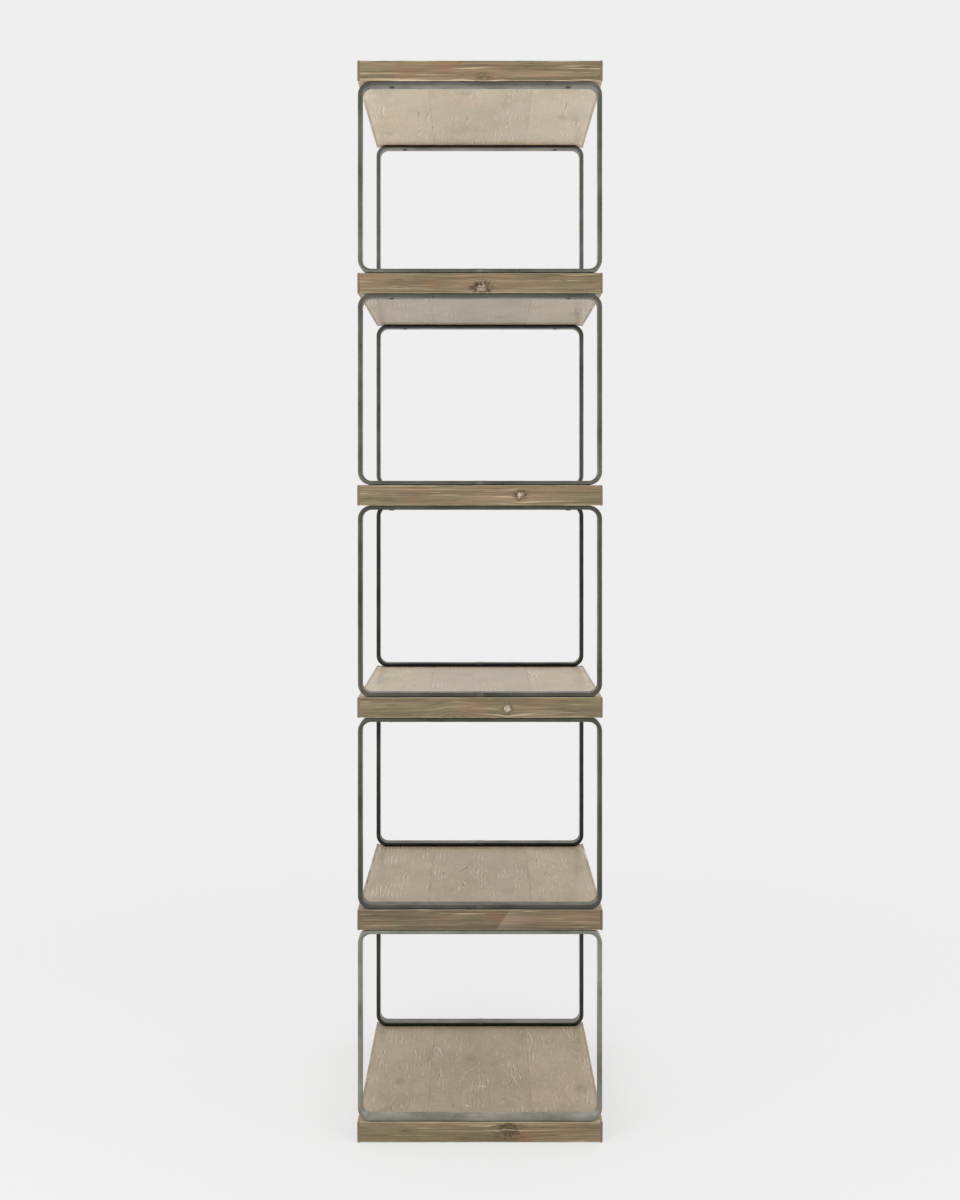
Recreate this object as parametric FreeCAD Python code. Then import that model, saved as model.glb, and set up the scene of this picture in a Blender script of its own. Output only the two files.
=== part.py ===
import FreeCAD, Part
import os

# Etagere: six knotty-wood shelves carried by five tiers of rounded flat-bar frames.
# Millimetres, +Z up, origin on the floor under the middle of the shelves.
# The front, where the grain of the shelf edge shows, faces -Y.

# Shelves
shelf_count = 6
shelf_width = 457.0
shelf_depth = 508.0
shelf_thickness = 38.0
shelf_arris = 2.0
edge_thickness = 4.5
middle_board_width = 198.0
seam_chamfer = 0.5
tongue_thickness = 10.0
tongue_length = 8.0
tongue_clearance = 0.2

# Frames of bent flat bar, one at the front and one at the rear of each tier
frame_height = 357.0
bar_thickness = 8.0
bar_width = 25.0
bend_radius = 25.0
bar_arris = 0.8
frame_side_setback = 1.0
frame_face_setback = 1.5

# Low-headed machine screws, driven upwards from below
screw_spacing = 330.0
thread_diameter = 5.0
thread_tip_chamfer = 0.6
head_diameter = 9.5
head_height = 1.4
head_round = 0.6
recess_width = 1.2
recess_length = 5.0
recess_depth = 0.9
screw_clearance = 0.25
thread_clearance = 0.05
tap_floor = 2.5
tap_end_clearance = 1.5

# Sunk heads under the bottom shelf, and threaded inserts in the top shelf
base_sink_depth = 7.0
base_sink_clearance = 1.2
insert_diameter = 8.0
insert_length = 12.0
insert_slot_width = 1.0
insert_slot_depth = 1.5
insert_tip_run = 4.0
insert_bore_run = 6.0

# Floor glides let into the bottom shelf
glide_diameter = 25.0
glide_thickness = 5.0
glide_standoff = 1.5
glide_round = 0.8
glide_clearance = 0.3
glide_side_inset = 45.0
glide_end_inset = 48.0
glide_screw_diameter = 3.5
glide_screw_head = 7.0
glide_screw_sink = 0.8
glide_screw_length = 16.0

# How far a cutter runs past the face that it opens
cut_overrun = 1.0

# Places that follow from the sizes above
tier_pitch = shelf_thickness + frame_height
half_width = shelf_width / 2
half_depth = shelf_depth / 2
panel_half_width = half_width - edge_thickness
rail_depth = frame_face_setback + bar_width
panel_half_depth = half_depth - rail_depth
frame_half_width = half_width - frame_side_setback
frame_face = half_depth - frame_face_setback
bar_line = frame_face - bar_width / 2
tap_depth = bar_thickness - tap_floor
thread_engagement = tap_depth - tap_end_clearance
through_screw_length = bar_thickness + shelf_thickness + thread_engagement
base_screw_length = shelf_thickness - base_sink_depth + thread_engagement
top_screw_length = bar_thickness + insert_length + insert_tip_run
glide_recess_depth = glide_thickness - glide_standoff
up = FreeCAD.Vector(0, 0, 1)

os.makedirs("parts", exist_ok=True)


def save(shape, name):
    """Writes one sub-part under its node name."""
    shape.exportStep(os.path.join("parts", name + ".step"))


def block(x_span, y_span, z_span):
    """A box between two limits along each axis."""
    corner = FreeCAD.Vector(x_span[0], y_span[0], z_span[0])
    size = [span[1] - span[0] for span in (x_span, y_span, z_span)]
    return Part.makeBox(size[0], size[1], size[2], corner)


def rod(radius, x, y, z_span):
    """An upright cylinder between two heights."""
    return Part.makeCylinder(radius, z_span[1] - z_span[0], FreeCAD.Vector(x, y, z_span[0]), up)


def edges_along_y(shape):
    """The straight edges of a block that run front to back."""
    return [e for e in shape.Edges if e.BoundBox.YLength > max(e.BoundBox.XLength, e.BoundBox.ZLength)]


def shelf_bottom(number):
    """The height of a shelf's underside, counting from 1 at the floor."""
    return glide_standoff + (number - 1) * tier_pitch


def screw_places():
    """The four screw axes, two over each frame's bar."""
    x = screw_spacing / 2
    return [(sx * x, sy * bar_line) for sy in (-1, 1) for sx in (-1, 1)]


def glide_places():
    """The four floor glide axes."""
    x = half_width - glide_side_inset
    y = half_depth - glide_end_inset
    return [(sx * x, sy * y) for sy in (-1, 1) for sx in (-1, 1)]


def screw_holes(number):
    """The cutter for the screw holes in one shelf: through, sunk at the base or blind at the top."""
    bottom = shelf_bottom(number)
    top = bottom + shelf_thickness
    shank = thread_diameter / 2 + screw_clearance
    cutters = []
    for x, y in screw_places():
        if number == shelf_count:
            seat = insert_diameter / 2 + thread_clearance
            cutters.append(rod(seat, x, y, (bottom - cut_overrun, bottom + insert_length)))
            cutters.append(rod(shank, x, y, (bottom, bottom + insert_length + insert_bore_run)))
            continue
        cutters.append(rod(shank, x, y, (bottom - cut_overrun, top + cut_overrun)))
        if number == 1:
            sink = head_diameter / 2 + base_sink_clearance
            cutters.append(rod(sink, x, y, (bottom - cut_overrun, bottom + base_sink_depth)))
    return Part.makeCompound(cutters)


def glide_holes():
    """The cutter for the glide recesses and their pilot holes in the bottom shelf."""
    bottom = shelf_bottom(1)
    seat = glide_diameter / 2 + glide_clearance
    pilot = glide_screw_diameter / 2 + thread_clearance
    pilot_top = glide_screw_sink + glide_screw_length + tap_end_clearance
    cutters = []
    for x, y in glide_places():
        cutters.append(rod(seat, x, y, (bottom - cut_overrun, bottom + glide_recess_depth)))
        cutters.append(rod(pilot, x, y, (bottom, pilot_top)))
    return Part.makeCompound(cutters)


def board(x_span, bottom):
    """One shelf board: grain front to back, eased seams and a tongue on each end."""
    y_span = (-panel_half_depth, panel_half_depth)
    plank = block(x_span, y_span, (bottom, bottom + shelf_thickness))
    plank = plank.makeChamfer(seam_chamfer, edges_along_y(plank))
    middle = bottom + shelf_thickness / 2
    tongue_z = (middle - tongue_thickness / 2, middle + tongue_thickness / 2)
    tongue_y = (-panel_half_depth - tongue_length, panel_half_depth + tongue_length)
    return plank.fuse(block(x_span, tongue_y, tongue_z)).removeSplitter()


def shelf(number):
    """All the pieces of one shelf, by name: boards, rails across their ends and edge lippings."""
    bottom = shelf_bottom(number)
    top = bottom + shelf_thickness
    height = (bottom, top)
    blank = block((-half_width, half_width), (-half_depth, half_depth), height)
    blank = blank.makeFillet(shelf_arris, blank.Edges)
    seam = middle_board_width / 2
    pieces = {
        "left_board": board((-panel_half_width, -seam), bottom),
        "middle_board": board((-seam, seam), bottom),
        "right_board": board((seam, panel_half_width), bottom),
    }
    middle = bottom + shelf_thickness / 2
    groove_half = tongue_thickness / 2 + tongue_clearance
    groove_depth = tongue_length + tongue_clearance
    groove = block(
        (-half_width, half_width),
        (-panel_half_depth - groove_depth, panel_half_depth + groove_depth),
        (middle - groove_half, middle + groove_half),
    )
    holes = screw_holes(number)
    rail_x = (-panel_half_width, panel_half_width)
    for name, rail_y in (
        ("front_rail", (-half_depth, -panel_half_depth)),
        ("rear_rail", (panel_half_depth, half_depth)),
    ):
        pieces[name] = blank.common(block(rail_x, rail_y, height)).cut(groove).cut(holes)
    edge_y = (-half_depth, half_depth)
    for name, edge_x in (
        ("left_edge", (-half_width, -panel_half_width)),
        ("right_edge", (panel_half_width, half_width)),
    ):
        pieces[name] = blank.common(block(edge_x, edge_y, height))
    if number == 1:
        recesses = glide_holes()
        for name in ("left_board", "middle_board", "right_board"):
            pieces[name] = pieces[name].cut(recesses)
    return pieces


def rounded_block(half_x, y_span, z_span, radius):
    """A block with its four front-to-back edges rounded."""
    plain = block((-half_x, half_x), y_span, z_span)
    return plain.makeFillet(radius, edges_along_y(plain))


def frame(number, front):
    """One closed frame of flat bar, bent at four corners, drilled above and tapped below."""
    low = shelf_bottom(number) + shelf_thickness
    high = low + frame_height
    y_span = (-frame_face, -frame_face + bar_width) if front else (frame_face - bar_width, frame_face)
    outer = rounded_block(frame_half_width, y_span, (low, high), bend_radius)
    inner = rounded_block(
        frame_half_width - bar_thickness,
        y_span,
        (low + bar_thickness, high - bar_thickness),
        bend_radius - bar_thickness,
    )
    ring = outer.cut(inner)
    rims = [e for e in ring.Edges if e.BoundBox.YLength < bar_width / 2]
    ring = ring.makeFillet(bar_arris, rims)
    clear = thread_diameter / 2 + screw_clearance
    tapped = thread_diameter / 2 + thread_clearance
    cutters = []
    for x, y in screw_places():
        cutters.append(rod(clear, x, y, (high - bar_thickness - cut_overrun, high + cut_overrun)))
        cutters.append(rod(tapped, x, y, (low - cut_overrun, low + tap_depth)))
    return ring.cut(Part.makeCompound(cutters))


def screw(length):
    """A low-headed screw with a cross recess, its seat at height 0 and its thread pointing up."""
    head = rod(head_diameter / 2, 0, 0, (-head_height, 0))
    rim = [e for e in head.Edges if e.BoundBox.ZMax < -head_height / 2]
    head = head.makeFillet(head_round, rim)
    slot_z = (-head_height - cut_overrun, recess_depth - head_height)
    long_side = (-recess_length / 2, recess_length / 2)
    short_side = (-recess_width / 2, recess_width / 2)
    head = head.cut(block(long_side, short_side, slot_z)).cut(block(short_side, long_side, slot_z))
    thread = rod(thread_diameter / 2, 0, 0, (0, length))
    tip = [e for e in thread.Edges if e.BoundBox.ZMin > length / 2]
    thread = thread.makeChamfer(thread_tip_chamfer, tip)
    return head.fuse(thread).removeSplitter()


def insert():
    """A threaded insert with its driving slots at height 0."""
    sleeve = rod(insert_diameter / 2, 0, 0, (0, insert_length))
    bore = rod(thread_diameter / 2 + thread_clearance, 0, 0, (-cut_overrun, insert_length + cut_overrun))
    slot = block(
        (-insert_diameter, insert_diameter),
        (-insert_slot_width / 2, insert_slot_width / 2),
        (-cut_overrun, insert_slot_depth),
    )
    return sleeve.cut(bore).cut(slot)


def glide_screw(clearance):
    """A countersunk screw pointing up from height 0, or its hole when given a clearance."""
    head = glide_screw_head / 2 + clearance
    thread = glide_screw_diameter / 2 + clearance
    cone = Part.makeCone(head, thread, head - thread)
    return cone.fuse(rod(thread, 0, 0, (0, glide_screw_length))).removeSplitter()


def glide():
    """A round floor glide with its eased sole at height 0 and a countersunk hole."""
    disc = rod(glide_diameter / 2, 0, 0, (0, glide_thickness))
    sole = [e for e in disc.Edges if e.BoundBox.ZMax < glide_thickness / 2]
    disc = disc.makeFillet(glide_round, sole)
    hole = glide_screw(thread_clearance)
    hole.translate(up * glide_screw_sink)
    mouth = rod(glide_screw_head / 2 + thread_clearance, 0, 0, (-cut_overrun, glide_screw_sink))
    return disc.cut(hole).cut(mouth)


def copies(shape, places, height):
    """The same shape at each place, as one group of separate solids."""
    group = []
    for x, y in places:
        one = shape.copy()
        one.translate(FreeCAD.Vector(x, y, height))
        group.append(one)
    return group


for shelf_number in range(1, shelf_count + 1):
    for piece_name, piece in shelf(shelf_number).items():
        save(piece, f"shelf_{shelf_number}_{piece_name}")

for tier_number in range(1, shelf_count):
    save(frame(tier_number, True), f"tier_{tier_number}_front_frame")
    save(frame(tier_number, False), f"tier_{tier_number}_rear_frame")

through_screws = []
for shelf_number in range(2, shelf_count):
    seat_height = shelf_bottom(shelf_number) - bar_thickness
    through_screws += copies(screw(through_screw_length), screw_places(), seat_height)
save(Part.makeCompound(through_screws), "through_screws")

top_shelf_bottom = shelf_bottom(shelf_count)
top_screws = copies(screw(top_screw_length), screw_places(), top_shelf_bottom - bar_thickness)
save(Part.makeCompound(top_screws), "top_screws")
save(Part.makeCompound(copies(insert(), screw_places(), top_shelf_bottom)), "top_inserts")

base_seat_height = shelf_bottom(1) + base_sink_depth
base_screws = copies(screw(base_screw_length), screw_places(), base_seat_height)
save(Part.makeCompound(base_screws), "base_screws")

save(Part.makeCompound(copies(glide(), glide_places(), 0)), "floor_glides")
save(Part.makeCompound(copies(glide_screw(0), glide_places(), glide_screw_sink)), "glide_screws")
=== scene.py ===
"""Etagere: six knotty limed-oak shelves carried by five tiers of blackened flat-bar frames."""

import logging
import math
import random
from collections.abc import Callable, Iterator
from contextlib import contextmanager
from dataclasses import dataclass, field, replace
from enum import Enum

import bmesh
import bpy
from mathutils import Euler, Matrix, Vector


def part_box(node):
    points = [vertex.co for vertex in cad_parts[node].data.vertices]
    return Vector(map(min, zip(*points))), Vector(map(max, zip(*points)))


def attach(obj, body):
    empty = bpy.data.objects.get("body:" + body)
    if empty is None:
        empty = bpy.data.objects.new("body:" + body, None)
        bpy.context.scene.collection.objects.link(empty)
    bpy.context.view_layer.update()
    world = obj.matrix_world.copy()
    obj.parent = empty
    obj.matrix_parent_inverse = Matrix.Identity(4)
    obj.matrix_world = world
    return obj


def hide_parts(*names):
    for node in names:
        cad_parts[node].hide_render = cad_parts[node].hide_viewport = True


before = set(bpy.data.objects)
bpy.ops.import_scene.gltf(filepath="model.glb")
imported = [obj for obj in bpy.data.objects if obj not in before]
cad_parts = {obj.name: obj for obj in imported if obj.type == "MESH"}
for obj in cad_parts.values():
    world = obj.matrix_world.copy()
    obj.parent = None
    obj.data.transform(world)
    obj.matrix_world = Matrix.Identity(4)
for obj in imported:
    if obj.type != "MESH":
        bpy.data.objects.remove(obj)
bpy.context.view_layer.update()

LOG = logging.getLogger("etagere")
MM = 0.001
# Places nearer to each other than this count as the same.
CLOSE = 0.1 * MM
BODY = "root"
SHELF_COUNT = 6
TIER_COUNT = SHELF_COUNT - 1
QUARTER_TURN = math.pi / 2
SMOOTH_ANGLE = math.radians(32.0)
# A wave texture turns by this many radians over one unit of its scale.
WAVE_TURN = 20.0
# The setting of a node that eases a spread value in and out.
EASED = {"interpolation_type": "SMOOTHSTEP"}

Piece = bpy.types.Object
Tree = bpy.types.NodeTree
Socket = bpy.types.NodeSocket
Span = tuple[float, float]
Triple = tuple[float, float, float]
LongCheck = tuple[float, float, float, float]
Colour = tuple[float, float, float, float]
Coat = tuple[Socket, Colour | Socket]


class Element(Enum):
    """What a selection in edit mode is made of."""

    VERTEX = "VERT"
    EDGE = "EDGE"
    FACE = "FACE"


class Face(Enum):
    """A face of a wooden piece, as the turn that brings a cutter's top to it."""

    TOP = (0.0, 0.0, QUARTER_TURN)
    BOTTOM = (math.pi, 0.0, QUARTER_TURN)
    FRONT = (QUARTER_TURN, 0.0, 0.0)
    REAR = (-QUARTER_TURN, 0.0, 0.0)


class Grain(Enum):
    """Which way the grain runs, as the turn to (along the grain, across the face, into the wood)."""

    ACROSS_FRONT = (-QUARTER_TURN, 0.0, 0.0)
    INTO_DEPTH = (0.0, 0.0, -QUARTER_TURN)
    ALONG_SIDE = (-QUARTER_TURN, -QUARTER_TURN, 0.0)


class Tint(Enum):
    """The colour of a knot's heart, or of a stain in sound wood."""

    PALE = "pale"
    DARK = "dark"
    RED = "red"


@dataclass(frozen=True)
class KnotLook:
    """How strongly each part of a knot shows, from 0 to 1, and how its heart is."""

    halo: float = 0.0
    ring: float = 0.0
    heart: float = 0.0
    star: float = 0.0
    speckle: float = 0.0
    split: float = 0.0
    mottle: float = 0.6
    stretch: float = 1.6
    tint: Tint = Tint.PALE
    bends: bool = True
    hollow: bool = False
    slanted: bool = False


class KnotKind(Enum):
    """The kinds of knot and mark that the planks have."""

    STARRED = KnotLook(halo=0.45, ring=0.35, heart=0.8, star=1.0, mottle=0.85, stretch=1.2, hollow=True)
    FEATHERED = KnotLook(halo=0.35, ring=0.15, heart=0.35, star=0.9, stretch=1.35, hollow=True)
    SMALL = KnotLook(halo=0.3, ring=0.2, heart=0.95, star=0.4, mottle=0.7, stretch=1.0, hollow=True)
    PATCH = KnotLook(halo=0.35, heart=0.17, bends=False, slanted=True)
    SPLIT = KnotLook(
        halo=0.4, ring=0.4, heart=0.45, star=0.3, speckle=0.9, split=0.6, tint=Tint.DARK, hollow=True
    )
    FAINT = KnotLook(halo=0.22, ring=0.1, heart=0.18, star=0.3, tint=Tint.DARK)
    STAIN = KnotLook(heart=0.45, mottle=0.5, tint=Tint.RED, bends=False)
    SWIRL = KnotLook(halo=0.12)


@dataclass(frozen=True)
class Knot:
    """One knot, placed from the middle of its piece: along the grain and across it."""

    along: float
    across: float
    radius: float
    kind: KnotKind


@dataclass(frozen=True)
class Check:
    """One drying check that opens along the grain, placed as a knot is."""

    along: float
    across: float
    length: float
    width: float
    turn: float = 0.0


@dataclass(frozen=True)
class Chip:
    """One splinter that has broken off an arris, placed as a knot is."""

    along: float
    across: float
    length: float
    height: float


Flaw = Check | Chip | Knot


@dataclass(frozen=True)
class Cut:
    """How one piece was cut from the plank: its grain, size, tone and knots."""

    grain: Grain
    centre: Vector
    half_along: float
    half_across: float
    half_depth: float
    seed: float
    # The piece's lightness and its shelf's face lightness carry that shelf's painted light and shade.
    tone: float
    face_tone: float
    knots: tuple[Knot, ...]
    wash: float = 0.0
    worn_arris: bool = True
    checked: bool = True


def linear(colour: str, tone: float = 1.0) -> Colour:
    """Turns an sRGB hex colour to linear light.

    Args:
        colour: Six hex digits after a hash sign.
        tone: A factor for a lighter or darker piece.

    Returns:
        Red, green, blue and an alpha of 1.
    """
    parts = [int(colour[start : start + 2], 16) / 255 for start in (1, 3, 5)]
    light = [p / 12.92 if p <= 0.04045 else ((p + 0.055) / 1.055) ** 2.4 for p in parts]
    return light[0] * tone, light[1] * tone, light[2] * tone, 1.0


def grey(level: float) -> Colour:
    """A neutral colour of one level of linear light."""
    return level, level, level, 1.0


def add_node(
    tree: Tree,
    kind: str,
    inputs: dict[str | int, object] | None = None,
    out: str | int = 0,
    stops: tuple[tuple[float, Colour], ...] = (),
    **settings: object,
) -> Socket | None:
    """Adds one node with its settings and links.

    Args:
        tree: The node tree to add to.
        kind: The node's type, without its ShaderNode prefix.
        inputs: A constant or an output socket for each named or numbered input.
        out: The output that is wanted.
        stops: The stops of a colour ramp, from low to high.
        settings: The node's own properties.

    Returns:
        That output, or nothing for a node that ends the tree.
    """
    node = tree.nodes.new("ShaderNode" + kind)
    for key, value in settings.items():
        setattr(node, key, value)
    for number, (place, colour) in enumerate(stops):
        ramp = node.color_ramp.elements
        stop = ramp[number] if number < len(ramp) else ramp.new(place)
        stop.position = place
        stop.color = colour
    for key, value in (inputs or {}).items():
        if isinstance(value, Socket):
            tree.links.new(value, node.inputs[key])
        else:
            node.inputs[key].default_value = value
    return node.outputs[out] if len(node.outputs) else None


def spread(value: Socket, span: Span, full: float | Socket = 1.0, least: float = 0.0) -> dict[str, object]:
    """The inputs that spread a span of a value from the least to the full amount."""
    return {"Value": value, "From Min": span[0], "From Max": span[1], "To Min": least, "To Max": full}


def below_surface(half: float, depths_mm: Span) -> Span:
    """Turns two depths below a surface to distances from the middle of the piece."""
    return half - depths_mm[0] * MM, half - depths_mm[1] * MM


def lay_coats(tree: Tree, ground: Socket, coats: list[Coat]) -> Socket:
    """Lays coats of colour over a ground, each as strong as its share.

    Args:
        tree: The material's nodes.
        ground: The colour below.
        coats: The share and colour of each coat, the lowest first.

    Returns:
        The colour seen.
    """
    for share, colour in coats:
        ground = add_node(tree, "Mix", {0: share, 6: ground, 7: colour}, out=2, data_type="RGBA")
    return ground


def new_material(name: str) -> tuple[bpy.types.Material, Tree]:
    """Makes an empty material that uses nodes.

    Args:
        name: The material's name.

    Returns:
        The material and its node tree.
    """
    material = bpy.data.materials.new(name)
    material.use_nodes = True
    material.node_tree.nodes.clear()
    return material, material.node_tree


def put_on(piece: Piece, material: bpy.types.Material) -> None:
    """Gives a piece one material all over."""
    piece.data.materials.clear()
    piece.data.materials.append(material)


def stand_clear() -> None:
    """Leaves edit mode and deselects everything."""
    if bpy.context.object and bpy.context.object.mode != "OBJECT":
        bpy.ops.object.mode_set(mode="OBJECT")
    bpy.ops.object.select_all(action="DESELECT")


def take_up(piece: Piece) -> None:
    """Selects one piece alone and makes it active."""
    stand_clear()
    piece.select_set(True)
    bpy.context.view_layer.objects.active = piece


@contextmanager
def editing(piece: Piece) -> Iterator[None]:
    """Opens a piece in edit mode with nothing selected, and closes it again.

    Args:
        piece: The mesh object to edit.
    """
    take_up(piece)
    bpy.ops.object.mode_set(mode="EDIT")
    bpy.ops.mesh.select_all(action="DESELECT")
    yield
    bpy.ops.object.mode_set(mode="OBJECT")


def pick(piece: Piece, element: Element, test: Callable[[object], bool]) -> None:
    """Selects the parts of a mesh that pass a test, while the piece is in edit mode.

    Args:
        piece: The piece being edited.
        element: What to select.
        test: Says whether one vertex, edge or face is wanted.
    """
    bpy.ops.mesh.select_mode(type=element.value)
    bpy.ops.mesh.select_all(action="DESELECT")
    shape = bmesh.from_edit_mesh(piece.data)
    groups = {Element.VERTEX: shape.verts, Element.EDGE: shape.edges, Element.FACE: shape.faces}
    for item in groups[element]:
        if test(item):
            item.select_set(True)
    bmesh.update_edit_mesh(piece.data)


def run_of(edge: bmesh.types.BMEdge, axis: int) -> float:
    """How far an edge runs along one axis."""
    return abs(edge.verts[0].co[axis] - edge.verts[1].co[axis])


def settle(piece: Piece, name: str) -> Piece:
    """Names a piece and moves its place into its mesh.

    Args:
        piece: The piece to settle.
        name: Its new name.

    Returns:
        The same piece.
    """
    piece.name = name
    piece.data.name = name
    take_up(piece)
    bpy.ops.object.transform_apply(location=True, rotation=True, scale=True)
    return piece


def new_block(name: str, low: Vector, high: Vector) -> Piece:
    """Adds a block between two corners.

    Args:
        name: The block's name.
        low: Its lowest corner.
        high: Its highest corner.

    Returns:
        The block, with its place in its mesh.
    """
    stand_clear()
    bpy.ops.mesh.primitive_cube_add(size=1.0, location=(low + high) / 2)
    block = bpy.context.object
    block.scale = high - low
    return settle(block, name)


def twin_of(piece: Piece, name: str, offset: Vector) -> Piece:
    """Copies a piece, with a mesh of its own, to another place.

    Args:
        piece: The piece to copy.
        name: The copy's name.
        offset: How far the copy is moved.

    Returns:
        The copy.
    """
    take_up(piece)
    bpy.ops.object.duplicate(linked=False)
    bpy.ops.transform.translate(value=offset)
    return settle(bpy.context.object, name)


def apply_modifier(piece: Piece, kind: str, **settings: object) -> None:
    """Adds a modifier with its settings and applies it.

    Args:
        piece: The piece to change.
        kind: Blender's modifier type.
        settings: The modifier's own properties.
    """
    take_up(piece)
    modifier = piece.modifiers.new(kind.lower(), kind)
    for key, value in settings.items():
        setattr(modifier, key, value)
    bpy.ops.object.modifier_apply(modifier=modifier.name)


def cut_away(piece: Piece, cutter: Piece, crossing: bool = False) -> None:
    """Cuts a cutter's shape out of a piece, and deletes the cutter.

    Args:
        piece: The piece to cut.
        cutter: The shape to cut out.
        crossing: Whether parts of the cutter may run into each other.
    """
    apply_modifier(piece, "BOOLEAN", operation="DIFFERENCE", object=cutter, solver="EXACT", use_self=crossing)
    remove(cutter)


def span_of(piece: Piece) -> Vector:
    """The length of a piece's mesh along each axis."""
    places = [vertex.co for vertex in piece.data.vertices]
    return Vector([max(p[axis] for p in places) - min(p[axis] for p in places) for axis in range(3)])


def roughen(piece: Piece, lump: float, height: float, group: str = "") -> None:
    """Moves a surface in and out a little, as hand work leaves it.

    Args:
        piece: The piece to change.
        lump: The size of one rise or hollow, in metres.
        height: The whole range of the movement, in metres.
        group: The vertices that move, or all of them.
    """
    clouds = bpy.data.textures.new("unevenness", type="CLOUDS")
    clouds.noise_scale = lump
    clouds.noise_depth = 2
    apply_modifier(
        piece,
        "DISPLACE",
        texture=clouds,
        texture_coords="LOCAL",
        strength=height,
        mid_level=0.5,
        vertex_group=group,
    )
    bpy.data.textures.remove(clouds)


def finish_shape(piece: Piece) -> None:
    """Smooths the rounded stretches of a piece and leaves its edges crisp."""
    take_up(piece)
    bpy.ops.object.shade_smooth_by_angle(angle=SMOOTH_ANGLE)


def remove(piece: Piece) -> None:
    """Deletes a pattern piece or a cutter."""
    mesh = piece.data
    bpy.data.objects.remove(piece)
    bpy.data.meshes.remove(mesh)


def install(piece: Piece, node: str) -> None:
    """Lets a piece stand for its node and ride with the part.

    Args:
        piece: The finished piece.
        node: The node that it stands for.
    """
    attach(piece, BODY)
    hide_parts(node)
    LOG.info("%s: %d faces", piece.name, len(piece.data.polygons))


@dataclass(frozen=True)
class Streaks:
    """A field of streaks along the grain.

    The spacing is the size along, across and into the wood, in millimetres. The span is the part of the noise
    that is spread from nothing to the share, and the shift sets this field apart from the others of a piece.
    """

    spacing: Triple
    span: Span
    share: float
    shift: float


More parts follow.
